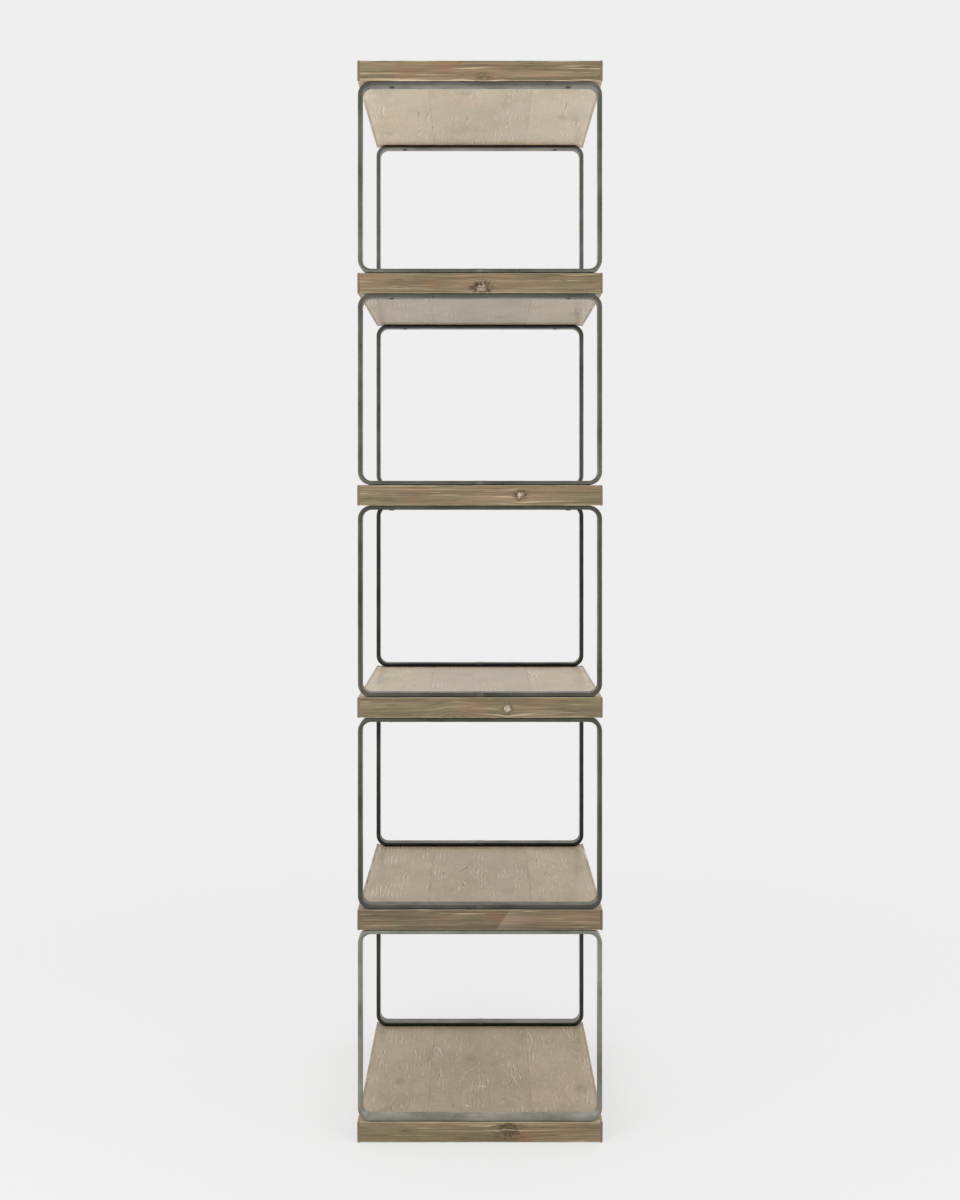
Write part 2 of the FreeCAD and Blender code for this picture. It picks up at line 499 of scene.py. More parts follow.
@dataclass(frozen=True)
class KnottyOak:
    """Knotty oak, planed, wire brushed, limed and given a satin lacquer.

    To the eye: olive to reddish brown with long fibres, pale lime left in the open grain, dark pores, and a
    soft sheen that turns the wide faces pale at a low angle.
    """

    name: str
    olive: str
    brown: str
    russet: str
    late_wood: str
    lime: str
    pore: str
    heart: str
    bark: str
    stain: str
    end_grain: str
    # The colours of a check's walls: the pale one is lime with a painted highlight, the dark one painted
    # shade in the gap.
    lime_and_highlight: str
    gap: str
    patches: Streaks
    bands: Streaks
    fibres: Streaks
    limed: Streaks
    pores: Streaks
    roughness: float
    shine: float
    ripples: Streaks | None = None
    # The wood whose paler colours and shelf light tone are painted on the top and bottom faces: painted sheen
    # and light, as those faces are of the same wood.
    level_sheen_wood: "KnottyOak | None" = None
    chalk: str = "#C6BDB0"
    wash: Streaks = Streaks((120.0, 80.0, 80.0), (0.2, 0.7), 1.0, 41.7)
    grain_detail: float = 3.0
    grain_roughness: float = 0.55

    # Brushed ripples lie about 1 mm apart, and are drawn 8 mm apart so that they show.
    ripple_mm: float = 8.0
    ripple_stretch: float = 2.6
    ripple_distortion: float = 6.0
    ripple_detail: float = 2.0
    ripple_detail_scale: float = 1.3
    # Where the painted highlight on a ripple's crest and the painted shade at its foot lie in the wave.
    lit_crest_span: Span = (0.68, 0.92)
    shaded_foot_span: Span = (0.26, 0.06)

    # Where the parts of a knot fade in, in knot radii, and the spans of noise that show in it.
    halo_fade: Span = (2.5, 1.0)
    ring_fade: Span = (1.35, 1.05)
    heart_fade: Span = (1.05, 0.8)
    stain_fade: Span = (1.75, 0.45)
    star_outer_fade: Span = (2.1, 1.4)
    star_inner_fade: Span = (0.3, 0.7)
    speckle_fade: Span = (1.25, 0.95)
    split_fade: Span = (2.8, 1.6)
    bend_room: float = 0.4
    knot_detail: float = 3.0
    ragged_scale: float = 1.7
    blotch_scale: float = 2.3
    blotch_span: Span = (0.42, 0.56)
    star_wander: Triple = (0.5, 0.5, 0.0)
    star_scale: float = 2.6
    star_detail: float = 2.5
    crack_span: Span = (0.49, 0.54)
    speckle_mm: float = 3.4
    dot_span: Span = (0.5, 0.25)
    split_swing: float = 0.6
    split_place: float = 0.3
    split_half_width: float = 0.07

    # The slant of a pale patch's edge, and where its parts fade, in patch radii.
    patch_slant: Triple = (1.0, -0.42, 0.0)
    patch_edge: Span = (-1.06, -0.94)
    patch_shade_fade: Span = (-2.4, -1.0)
    patch_heart_fade: Span = (1.5, -0.9)

    # Depths below the surface in millimetres, and tilts, between which worn wood changes colour, level faces
    # take a painted sheen, and the checks' walls take painted highlight and painted shade.
    end_mm: Span = (1.4, 0.4)
    end_share: float = 0.8
    arris_mm: Span = (2.6, 0.4)
    arris_share: float = 0.35
    level_sheen_tilt: Span = (0.6, 0.9)
    level_sheen_share: float = 0.94
    opened_mm: Span = (0.35, 0.65)
    off_arris_mm: Span = (1.0, 3.0)
    off_seam_mm: Span = (-1.0, -0.5)
    opened_share: float = 0.85
    lit_wall_tilt: Span = (-0.2, 0.3)
    lit_rim_mm: Span = (1.7, 1.0)

    bump_share: float = 0.35
    bump_height: float = 0.5 * MM
    gloss_range: float = 0.06
    refraction: float = 1.5

    def draw_streaks(self, tree: Tree, flow: Socket, streaks: Streaks, seed: float) -> Socket:
        """Draws one field of streaks along the grain.

        Args:
            tree: The material's nodes.
            flow: Coordinates that follow the grain, in metres.
            streaks: The field.
            seed: What sets this piece apart from the next.

        Returns:
            A value from 0 to the field's share.
        """
        scale = tuple(1.0 / (size * MM) for size in streaks.spacing)
        drawn = add_node(tree, "Mapping", {"Vector": flow, "Scale": scale})
        noise = add_node(
            tree,
            "TexNoise",
            {
                "Vector": drawn,
                "W": seed + streaks.shift,
                "Scale": 1.0,
                "Detail": self.grain_detail,
                "Roughness": self.grain_roughness,
            },
            out="Fac",
            noise_dimensions="4D",
        )
        return add_node(tree, "MapRange", spread(noise, streaks.span, streaks.share), **EASED)

    def centre_on(self, tree: Tree, plank: Socket, knot: Knot) -> tuple[Socket, Socket]:
        """Measures from one knot's heart.

        Args:
            tree: The material's nodes.
            plank: Straight coordinates from the middle of the piece.
            knot: The knot.

        Returns:
            Coordinates from the heart in metres, and in knot radii.
        """
        heart = (knot.along, knot.across, 0.0)
        away = add_node(tree, "VectorMath", {0: plank, 1: heart}, operation="SUBTRACT")
        scale = (1.0 / (knot.kind.value.stretch * knot.radius), 1.0 / knot.radius, 0.0)
        around = add_node(tree, "VectorMath", {0: away, 1: scale}, operation="MULTIPLY")
        return away, around

    def grained(self, tree: Tree, hue: Socket, tone: float, streaks: list[Socket]) -> Socket:
        """Spreads the three ground colours, and lays bands, fibres, lime and pores over them.

        Args:
            tree: The material's nodes.
            hue: A value from 0 to 1 that picks the ground colour.
            tone: The piece's lightness, with its shelf's painted light and shade.
            streaks: The shares of the four, in that order.

        Returns:
            The colour of sound wood.
        """
        stops = (
            (0.0, linear(self.olive, tone)),
            (0.5, linear(self.brown, tone)),
            (1.0, linear(self.russet, tone)),
        )
        ground = add_node(tree, "ValToRGB", {"Fac": hue}, stops=stops)
        colours = (self.late_wood, self.late_wood, self.lime, self.pore)
        coats = [(share, linear(colour, tone)) for share, colour in zip(streaks, colours)]
        return lay_coats(tree, ground, coats)

    def bend_round(self, tree: Tree, flow: Socket, away: Socket, around: Socket) -> Socket:
        """Bends the grain round one knot, as a stream flows round a stone.

        Args:
            tree: The material's nodes.
            flow: Coordinates that follow the grain so far.
            away: Coordinates from the knot's heart in metres.
            around: Coordinates from the knot's heart in knot radii.

        Returns:
            The new coordinates.
        """
        square = add_node(tree, "VectorMath", {0: around, 1: around}, out="Value", operation="DOT_PRODUCT")
        room = add_node(tree, "Math", {0: square, 1: self.bend_room}, operation="ADD")
        pull = add_node(tree, "Math", {0: 1.0, 1: room}, operation="DIVIDE")
        sideways = add_node(tree, "VectorMath", {0: away, 1: (0.0, 1.0, 0.0)}, operation="MULTIPLY")
        push = add_node(tree, "VectorMath", {0: sideways, "Scale": pull}, operation="SCALE")
        return add_node(tree, "VectorMath", {0: flow, 1: push}, operation="SUBTRACT")

    def star_coat(self, tree: Tree, around: Socket, rim: Socket, seed: float, strength: float) -> Socket:
        """Draws cracks that run out from a knot's heart.

        Args:
            tree: The material's nodes.
            around: Coordinates from the knot's heart in knot radii.
            rim: The ragged distance from the heart.
            seed: What sets this knot apart.
            strength: How dark the cracks are.

        Returns:
            The share of the crack's colour.
        """
        spoke = add_node(tree, "VectorMath", {0: around}, operation="NORMALIZE")
        veins = add_node(
            tree, "VectorMath", {0: around, 1: self.star_wander, 2: spoke}, operation="MULTIPLY_ADD"
        )
        rays = add_node(
            tree,
            "TexNoise",
            {"Vector": veins, "W": seed, "Scale": self.star_scale, "Detail": self.star_detail},
            out="Fac",
            noise_dimensions="4D",
        )
        cracks = add_node(tree, "MapRange", spread(rays, self.crack_span, strength))
        outside = add_node(tree, "MapRange", spread(rim, self.star_outer_fade))
        inside = add_node(tree, "MapRange", spread(rim, self.star_inner_fade))
        belt = add_node(tree, "Math", {0: outside, 1: inside}, operation="MULTIPLY")
        return add_node(tree, "Math", {0: cracks, 1: belt}, operation="MULTIPLY")

    def patch_coats(self, tree: Tree, around: Socket, look: KnotLook, tone: float) -> list[Coat]:
        """Colours a pale patch with one slanted edge: darker beside the edge, fading out on the other side.

        Args:
            tree: The material's nodes.
            around: Coordinates from the patch's middle in its radii.
            look: How strongly its parts show.
            tone: The piece's lightness, with its shelf's painted light and shade.

        Returns:
            The coats to lay over the wood.
        """
        slant = add_node(
            tree, "VectorMath", {0: around, 1: self.patch_slant}, out="Value", operation="DOT_PRODUCT"
        )
        coats: list[Coat] = []
        for edge, fade, strength, colour in (
            (self.patch_edge[::-1], self.patch_shade_fade, look.halo, self.late_wood),
            (self.patch_edge, self.patch_heart_fade, look.heart, self.heart),
        ):
            side = add_node(tree, "MapRange", spread(slant, edge))
            faded = add_node(tree, "MapRange", spread(slant, fade, strength))
            share = add_node(tree, "Math", {0: side, 1: faded}, operation="MULTIPLY")
            coats.append((share, linear(colour, tone)))
        return coats

    def knot_coats(self, tree: Tree, plank: Socket, around: Socket, knot: Knot, tone: float) -> list[Coat]:
        """Colours one knot: a shade in the grain round it, bark, a heart, star cracks, specks and a split.

        Args:
            tree: The material's nodes.
            plank: Straight coordinates from the middle of the piece.
            around: Coordinates from the knot's heart in knot radii.
            knot: The knot.
            tone: The piece's lightness, with its shelf's painted light and shade.

        Returns:
            The coats to lay over the wood.
        """
        look = knot.kind.value
        if look.slanted:
            return self.patch_coats(tree, around, look, tone)
        bark = linear(self.bark, tone)
        seed = knot.along / MM
        reach = add_node(tree, "VectorMath", {0: around}, out="Value", operation="LENGTH")
        ragged, blotch = (
            add_node(
                tree,
                "TexNoise",
                {"Vector": around, "W": seed, "Scale": scale, "Detail": self.knot_detail},
                out="Fac",
                noise_dimensions="4D",
            )
            for scale in (self.ragged_scale, self.blotch_scale)
        )
        wander = add_node(tree, "MapRange", spread(ragged, (0.0, 1.0), 1.0, -1.0))
        rim = add_node(tree, "Math", {0: reach, 1: wander}, operation="ADD")
        least = look.heart * (1.0 - look.mottle)
        heart = add_node(tree, "MapRange", spread(blotch, self.blotch_span, look.heart, least), **EASED)
        heart_fade = self.stain_fade if look.tint is Tint.RED else self.heart_fade
        colours = {Tint.PALE: self.heart, Tint.DARK: self.late_wood, Tint.RED: self.stain}
        coats: list[Coat] = []
        for colour, fade, strength, shown in (
            (self.late_wood, self.halo_fade, look.halo, look.halo),
            (self.bark, self.ring_fade, look.ring, look.ring),
            (colours[look.tint], heart_fade, heart, look.heart),
        ):
            if shown:
                share = add_node(tree, "MapRange", spread(rim, fade, strength), **EASED)
                coats.append((share, linear(colour, tone)))
        if look.star:
            coats.append((self.star_coat(tree, around, rim, seed, look.star), bark))
        if look.speckle:
            fineness = 1.0 / (self.speckle_mm * MM)
            cells = add_node(tree, "TexVoronoi", {"Vector": plank, "Scale": fineness}, out="Distance")
            dots = add_node(tree, "MapRange", spread(cells, self.dot_span, look.speckle))
            body = add_node(tree, "MapRange", spread(rim, self.speckle_fade))
            coats.append((add_node(tree, "Math", {0: dots, 1: body}, operation="MULTIPLY"), bark))
        if look.split:
            height = add_node(tree, "SeparateXYZ", {0: around}, out="Y")
            swing = add_node(
                tree, "Math", {0: ragged, 1: self.split_swing, 2: height}, operation="MULTIPLY_ADD"
            )
            line = add_node(
                tree, "Math", {0: swing, 1: self.split_place, 2: self.split_half_width}, operation="COMPARE"
            )
            body = add_node(tree, "MapRange", spread(reach, self.split_fade, look.split))
            share = add_node(tree, "Math", {0: line, 1: body}, operation="MULTIPLY")
            coats.append((share, linear(self.lime, tone)))
        return coats

    def ripple_coats(self, tree: Tree, flow: Socket, cut: Cut) -> tuple[list[Coat], Socket]:
        """Colours the patches of fine ripples that the wire brush left: a crest painted pale as lime with a
        painted highlight, and a foot painted dark as painted shade.

        Args:
            tree: The material's nodes.
            flow: Coordinates that follow the grain.
            cut: How the piece was cut.

        Returns:
            The coats to lay over the wood, and the ripples' height.
        """
        drawn = add_node(
            tree,
            "Mapping",
            {
                "Vector": flow,
                "Location": (0.0, cut.seed * MM, 0.0),
                "Scale": (1.0 / self.ripple_stretch, 1.0, 1.0),
            },
        )
        wave = add_node(
            tree,
            "TexWave",
            {
                "Vector": drawn,
                "Scale": 2 * math.pi / (WAVE_TURN * self.ripple_mm * MM),
                "Distortion": self.ripple_distortion,
                "Detail": self.ripple_detail,
                "Detail Scale": self.ripple_detail_scale,
            },
            out="Fac",
            bands_direction="Y",
            wave_profile="SAW",
        )
        patch = self.draw_streaks(tree, flow, self.ripples, cut.seed)
        coats: list[Coat] = []
        # Painted highlight on each crest and painted shade at each foot.
        for colour, span in ((self.lime, self.lit_crest_span), (self.pore, self.shaded_foot_span)):
            line = add_node(tree, "MapRange", spread(wave, span))
            share = add_node(tree, "Math", {0: line, 1: patch}, operation="MULTIPLY")
            coats.append((share, linear(colour, cut.tone)))
        height = add_node(tree, "Math", {0: wave, 1: patch}, operation="MULTIPLY")
        return coats, height

    def edge_coats(
        self, tree: Tree, plank: Socket, tilt: Socket, level: Socket | None, cut: Cut
    ) -> list[Coat]:
        """Colours the worn arrises, the end grain, the painted sheen on the level faces, and the painted
        highlight and shade on the checks' walls.

        Args:
            tree: The material's nodes.
            plank: Straight coordinates from the middle of the piece.
            tilt: How far the surface leans across the grain, from -1 to 1.
            level: The paler colours painted on the top and bottom faces as painted sheen and light, where
                this oak has them.
            cut: How the piece was cut.

        Returns:
            The coats to lay over the wood.
        """
        size = add_node(tree, "VectorMath", {0: plank}, operation="ABSOLUTE")
        along, across, deep = (add_node(tree, "SeparateXYZ", {0: size}, out=axis) for axis in "XYZ")
        end_span = below_surface(cut.half_along, self.end_mm)
        ends = add_node(tree, "MapRange", spread(along, end_span, self.end_share))
        coats: list[Coat] = []
        if cut.worn_arris:
            arris_span = below_surface(cut.half_across, self.arris_mm)
            arris = add_node(tree, "MapRange", spread(across, arris_span, self.arris_share), **EASED)
            coats.append((arris, linear(self.lime, cut.tone)))
        # Painted sheen and light: faces that lie level take the face boards' paler colours and their shelf's
        # light tone.
        if level:
            flat = add_node(tree, "Math", {0: tilt}, operation="ABSOLUTE")
            share = add_node(tree, "MapRange", spread(flat, self.level_sheen_tilt, self.level_sheen_share))
            coats.append((share, level))
        coats.append((ends, linear(self.end_grain, cut.tone)))
        if not cut.checked:
            return coats
        # Painted highlight and shade in the checks: walls that face one way, and the rims near the surface,
        # are painted pale as lime with a highlight; the deeper walls that face the other way are painted dark
        # as shade.
        sunk = add_node(tree, "MapRange", spread(deep, below_surface(cut.half_depth, self.opened_mm)))
        clear_mm = self.off_arris_mm if cut.worn_arris else self.off_seam_mm
        clear_span = below_surface(cut.half_across, clear_mm)
        clear = add_node(tree, "MapRange", spread(across, clear_span, self.opened_share))
        opened = add_node(tree, "Math", {0: sunk, 1: clear}, operation="MULTIPLY")
        facing = add_node(tree, "MapRange", spread(tilt, self.lit_wall_tilt))
        shallow = add_node(tree, "MapRange", spread(deep, below_surface(cut.half_depth, self.lit_rim_mm)))
        limed = add_node(tree, "Math", {0: facing, 1: shallow}, operation="MAXIMUM")
        walls = add_node(
            tree, "Mix", {0: limed, 6: linear(self.gap), 7: linear(self.lime_and_highlight)}, out=2, data_type="RGBA"
        )
        return [*coats, (opened, walls)]

    def dress(self, piece: Piece, cut: Cut) -> None:
        """Makes this oak for one piece and puts it on.

        Args:
            piece: The finished shape.
            cut: How the piece was cut from the plank.
        """
        material, tree = new_material(f"{self.name}_{piece.name}")
        turn = Euler(cut.grain.value)
        place = add_node(tree, "TexCoord", out="Object")
        middle = turn.to_matrix() @ cut.centre
        plank = add_node(tree, "Mapping", {"Vector": place, "Location": -middle, "Rotation": turn})
        normal = add_node(tree, "NewGeometry", out="Normal")
        lean = add_node(tree, "Mapping", {"Vector": normal, "Rotation": turn}, vector_type="VECTOR")
        tilt = add_node(tree, "SeparateXYZ", {0: lean}, out="Y")
        flow = plank
        arounds = []
        for knot in cut.knots:
            away, around = self.centre_on(tree, plank, knot)
            if knot.kind.value.bends:
                flow = self.bend_round(tree, flow, away, around)
            arounds.append(around)

        hue, *streaks = (
            self.draw_streaks(tree, flow, lines, cut.seed)
            for lines in (self.patches, self.bands, self.fibres, self.limed, self.pores)
        )
        bands, fibres, _, pores = streaks
        lift = add_node(tree, "Math", {0: fibres, 1: pores}, operation="SUBTRACT")
        relief = add_node(tree, "Math", {0: lift, 1: bands}, operation="ADD")
        coats: list[Coat] = []
        if self.ripples:
            rippled, height = self.ripple_coats(tree, flow, cut)
            coats += rippled
            relief = add_node(tree, "Math", {0: height, 1: relief}, operation="ADD")
        for knot, around in zip(cut.knots, arounds):
            coats += self.knot_coats(tree, plank, around, knot, cut.tone)
        if cut.wash:
            wash = self.draw_streaks(tree, flow, replace(self.wash, share=cut.wash), cut.seed)
            coats.append((wash, linear(self.chalk)))
        # The paler colours of the level faces: painted sheen and light.
        level = self.level_sheen_wood.grained(tree, hue, cut.face_tone, streaks) if self.level_sheen_wood else None
        coats += self.edge_coats(tree, plank, tilt, level, cut)
        wood = lay_coats(tree, self.grained(tree, hue, cut.tone, streaks), coats)

        bump = add_node(
            tree, "Bump", {"Strength": self.bump_share, "Distance": self.bump_height, "Height": relief}
        )
        smoothest = self.roughness - self.gloss_range
        roughest = self.roughness + self.gloss_range
        gloss = add_node(tree, "MapRange", spread(relief, (0.0, 1.0), smoothest, roughest))
        shader = add_node(
            tree,
            "BsdfPrincipled",
            {
                "Base Color": wood,
                "Roughness": gloss,
                "IOR": self.refraction,
                "Specular IOR Level": self.shine,
                "Normal": bump,
            },
        )
        add_node(tree, "OutputMaterial", {"Surface": shader})
        put_on(piece, material)


FACE_OAK = KnottyOak(
    name="limed_oak_face",
    olive="#A39274",
    brown="#AD9A7C",
    russet="#B19D85",
    late_wood="#8A7A5E",
    lime="#DDD1B8",
    pore="#5E503D",
    heart="#A18B6B",
    bark="#66553F",
    stain="#A08468",
    end_grain="#9A8A72",
    lime_and_highlight="#EAE1D1",
    gap="#54483A",
    patches=Streaks((90.0, 60.0, 60.0), (0.34, 0.66), 1.0, 0.0),
    bands=Streaks((70.0, 44.0, 50.0), (0.38, 0.66), 0.4, 3.7),
    # Fibres, lime and pores are under 0.3 mm wide. They are drawn 4 mm wide so that they show at a low angle.
    fibres=Streaks((11.0, 4.0, 6.0), (0.4, 0.64), 0.32, 7.1),
    limed=Streaks((24.0, 4.0, 8.0), (0.56, 0.7), 0.3, 11.9),
    pores=Streaks((16.0, 4.5, 6.0), (0.6, 0.72), 0.42, 17.3),
    ripples=Streaks((75.0, 36.0, 40.0), (0.53, 0.66), 0.65, 31.1),
    roughness=0.36,
    shine=0.5,
)
EDGE_OAK = KnottyOak(
    name="limed_oak_edge",
    olive="#766C50",
    brown="#80725A",
    russet="#897259",
    late_wood="#594E3A",
    lime="#B3A182",
    pore="#40321D",
    heart="#C2B19B",
    bark="#33240E",
    stain="#7F5A41",
    end_grain="#625A4D",
    lime_and_highlight="#B3A182",
    gap="#40321D",
    patches=Streaks((95.0, 34.0, 40.0), (0.34, 0.66), 1.0, 0.0),
    bands=Streaks((300.0, 7.0, 30.0), (0.38, 0.66), 0.62, 3.7),
    # Fibres, lime and pores are under 0.3 mm wide. They are drawn 2 to 3 mm wide so that they show from afar.
    fibres=Streaks((150.0, 2.8, 8.0), (0.4, 0.64), 0.7, 7.1),
    limed=Streaks((115.0, 2.6, 10.0), (0.56, 0.7), 0.78, 11.9),
    pores=Streaks((45.0, 1.9, 6.0), (0.6, 0.72), 0.8, 17.3),
    roughness=0.4,
    shine=0.26,
    level_sheen_wood=FACE_OAK,
)


@dataclass(frozen=True)
class FrameShading:
    """How light one frame's broad faces and edges are painted, as painted light and shade for the light and
    reflection that frame gets, and how far its painted contact shadow reaches from the wood.
    """

    broad: float
    edge: float
    contact_shade_mm: float = 2.4


@dataclass(frozen=True)
class BlackenedSteel:
    """Hot-rolled flat bar, bent, welded into a ring, blackened and waxed.

    To the eye: a dark neutral gunmetal with soft clouds and a few black specks. The broad faces are painted
    paler than the thin front and rear faces, as painted reflection and shade, and a painted shadow darkens
    the lines where a bar lies on the wood.
    """

    name: str
    edge_dark: str = "#3D3D37"
    edge_light: str = "#56554E"
    broad_dark: str = "#626159"
    broad_light: str = "#85837A"
    speck: str = "#1B1A17"
    rubbed: str = "#8E8F88"
    weld: str = "#6E6860"
    noise_roughness: float = 0.6
    cloud_mm: float = 75.0
    cloud_detail: float = 5.0
    cloud_span: Span = (0.3, 0.7)
    # Real mill-scale grit is about 0.1 mm, and is drawn coarser so that it shows.
    grit_mm: float = 3.0
    grit_detail: float = 2.0
    shaded_edge_tilt: Span = (0.55, 0.9)
    speck_span: Span = (0.62, 0.7)
    speck_share: float = 0.85
    speckless_span: Span = (0.5, 0.42)
    weld_half_mm: float = 9.0
    weld_share: float = 0.4
    # The inner part of the weld and of the painted contact shadow that shows in full.
    core_share: float = 0.4
    contact_shade_share: float = 0.9
    rubbed_span: Span = (0.53, 0.62)
    rubbed_share: float = 0.4
    dull: float = 0.52
    waxed: float = 0.4
    bump_share: float = 0.1
    bump_height: float = 0.3 * MM

    def dress(self, piece: Piece, low: Vector, high: Vector, look: FrameShading) -> None:
        """Makes this steel for one frame and puts it on.

        Args:
            piece: The finished shape.
            low: The frame's lowest corner.
            high: The frame's highest corner.
            look: How light this frame is painted, as painted light and shade, and how far its painted contact
                shadow reaches.
        """
        material, tree = new_material(f"{self.name}_{piece.name}")
        place = add_node(tree, "TexCoord", out="Object")
        clouds, grit = (
            add_node(
                tree,
                "TexNoise",
                {
                    "Vector": place,
                    "Scale": 1.0 / (size_mm * MM),
                    "Detail": detail,
                    "Roughness": self.noise_roughness,
                },
                out="Fac",
            )
            for size_mm, detail in ((self.cloud_mm, self.cloud_detail), (self.grit_mm, self.grit_detail))
        )
        broad, edge = (
            add_node(
                tree,
                "ValToRGB",
                {"Fac": clouds},
                stops=((self.cloud_span[0], linear(dark, tone)), (self.cloud_span[1], linear(light, tone))),
            )
            for dark, light, tone in (
                (self.broad_dark, self.broad_light, look.broad),
                (self.edge_dark, self.edge_light, look.edge),
            )
        )
        # Painted reflection and shade: faces turned to the front or rear get the darker edge colours, and the
        # broad faces the paler ones, as if they caught the bright surround at a low angle.
        normal = add_node(tree, "NewGeometry", out="Normal")
        facing = add_node(tree, "SeparateXYZ", {0: normal}, out="Y")
        square_on = add_node(tree, "Math", {0: facing}, operation="ABSOLUTE")
        shaded_edges = add_node(tree, "MapRange", spread(square_on, self.shaded_edge_tilt), **EASED)

        specks = add_node(tree, "MapRange", spread(grit, self.speck_span, self.speck_share), **EASED)
        thin = add_node(tree, "MapRange", spread(clouds, self.speckless_span))
        specked = add_node(tree, "Math", {0: specks, 1: thin}, operation="MULTIPLY")

        middle = (low + high) / 2
        from_middle = add_node(tree, "VectorMath", {0: place, 1: middle}, operation="SUBTRACT")
        height = add_node(tree, "SeparateXYZ", {0: from_middle}, out="Z")
        size = add_node(tree, "VectorMath", {0: from_middle}, operation="ABSOLUTE")
        sideways = add_node(tree, "SeparateXYZ", {0: size}, out="X")
        upward = add_node(tree, "SeparateXYZ", {0: size}, out="Z")
        weld_half = self.weld_half_mm * MM
        weld_span = (weld_half, self.core_share * weld_half)
        seam = add_node(tree, "MapRange", spread(sideways, weld_span, self.weld_share), **EASED)
        lower = add_node(tree, "Math", {0: height, 1: 0.0}, operation="LESS_THAN")
        welded = add_node(tree, "Math", {0: seam, 1: lower}, operation="MULTIPLY")
        # Painted contact shadow: the top and bottom of the frame, where the bars lie on the wood, are
        # darkened with the speck colour.
        contact_shade_span = below_surface((high.z - low.z) / 2, (look.contact_shade_mm, self.core_share * look.contact_shade_mm))
        contact_shade = add_node(tree, "MapRange", spread(upward, contact_shade_span, self.contact_shade_share), **EASED)
        pointed = add_node(tree, "NewGeometry", out="Pointiness")
        rub = add_node(tree, "MapRange", spread(pointed, self.rubbed_span, self.rubbed_share))
        coats = [
            (shaded_edges, edge),
            (rub, linear(self.rubbed, look.edge)),
            (welded, linear(self.weld, look.broad)),
            (specked, linear(self.speck, look.edge)),
            (contact_shade, linear(self.speck)),
        ]
        metal = lay_coats(tree, broad, coats)
        wax = add_node(tree, "MapRange", spread(clouds, self.cloud_span, self.waxed, self.dull))
        bump = add_node(
            tree, "Bump", {"Strength": self.bump_share, "Distance": self.bump_height, "Height": grit}
        )
        shader = add_node(
            tree, "BsdfPrincipled", {"Base Color": metal, "Metallic": 1.0, "Roughness": wax, "Normal": bump}
        )
        add_node(tree, "OutputMaterial", {"Surface": shader})
        put_on(piece, material)


FRAME_STEEL = BlackenedSteel(name="blackened_steel")


@dataclass(frozen=True)
class SmallFinish:
    """The finish of a small bought-in part: a plated or moulded surface with light handling marks."""

    name: str
    base: str
    worn: str
    metallic: float
    roughness: float
    mark_mm: float
    mark_detail: float = 4.0
    mark_roughness: float = 0.6
    worn_span: Span = (0.38, 0.7)
    dull_span: Span = (0.3, 0.7)
    dull_range: float = 0.08
    bump_share: float = 0.1
    bump_height: float = 0.2 * MM

    def dress(self, node: Piece) -> None:
        """Makes this finish and puts it on one node.

        Args:
            node: The node to dress.
        """
        material, tree = new_material(self.name)
        place = add_node(tree, "TexCoord", out="Object")
        marks = add_node(
            tree,
            "TexNoise",
            {
                "Vector": place,
                "Scale": 1.0 / (self.mark_mm * MM),
                "Detail": self.mark_detail,
                "Roughness": self.mark_roughness,
            },
            out="Fac",
        )
        stops = ((self.worn_span[0], linear(self.base)), (self.worn_span[1], linear(self.worn)))
        skin = add_node(tree, "ValToRGB", {"Fac": marks}, stops=stops)
        dullest = self.roughness + self.dull_range
        brightest = self.roughness - self.dull_range
        dull = add_node(tree, "MapRange", spread(marks, self.dull_span, dullest, brightest))
        bump = add_node(
            tree, "Bump", {"Strength": self.bump_share, "Distance": self.bump_height, "Height": marks}
        )
        shader = add_node(
            tree,
            "BsdfPrincipled",
            {"Base Color": skin, "Metallic": self.metallic, "Roughness": dull, "Normal": bump},
        )
        add_node(tree, "OutputMaterial", {"Surface": shader})
        put_on(node, material)


# Carbon steel screws, blackened: dark heads, a little brighter where the driver has turned.
BLACK_SCREW = SmallFinish("black_oxide_steel", "#2E2E2C", "#6A6A66", 1.0, 0.4, 3.0)
# Zinc plate on the inserts and the glide screws: pale, faintly yellow grey.
ZINC = SmallFinish("zinc_plate", "#9B9A92", "#C9C8C0", 1.0, 0.34, 4.0)
# Moulded nylon glides: milky white, scuffed on the sole.
NYLON = SmallFinish("nylon_moulding", "#D8D5CB", "#B7B2A4", 0.0, 0.45, 5.0)


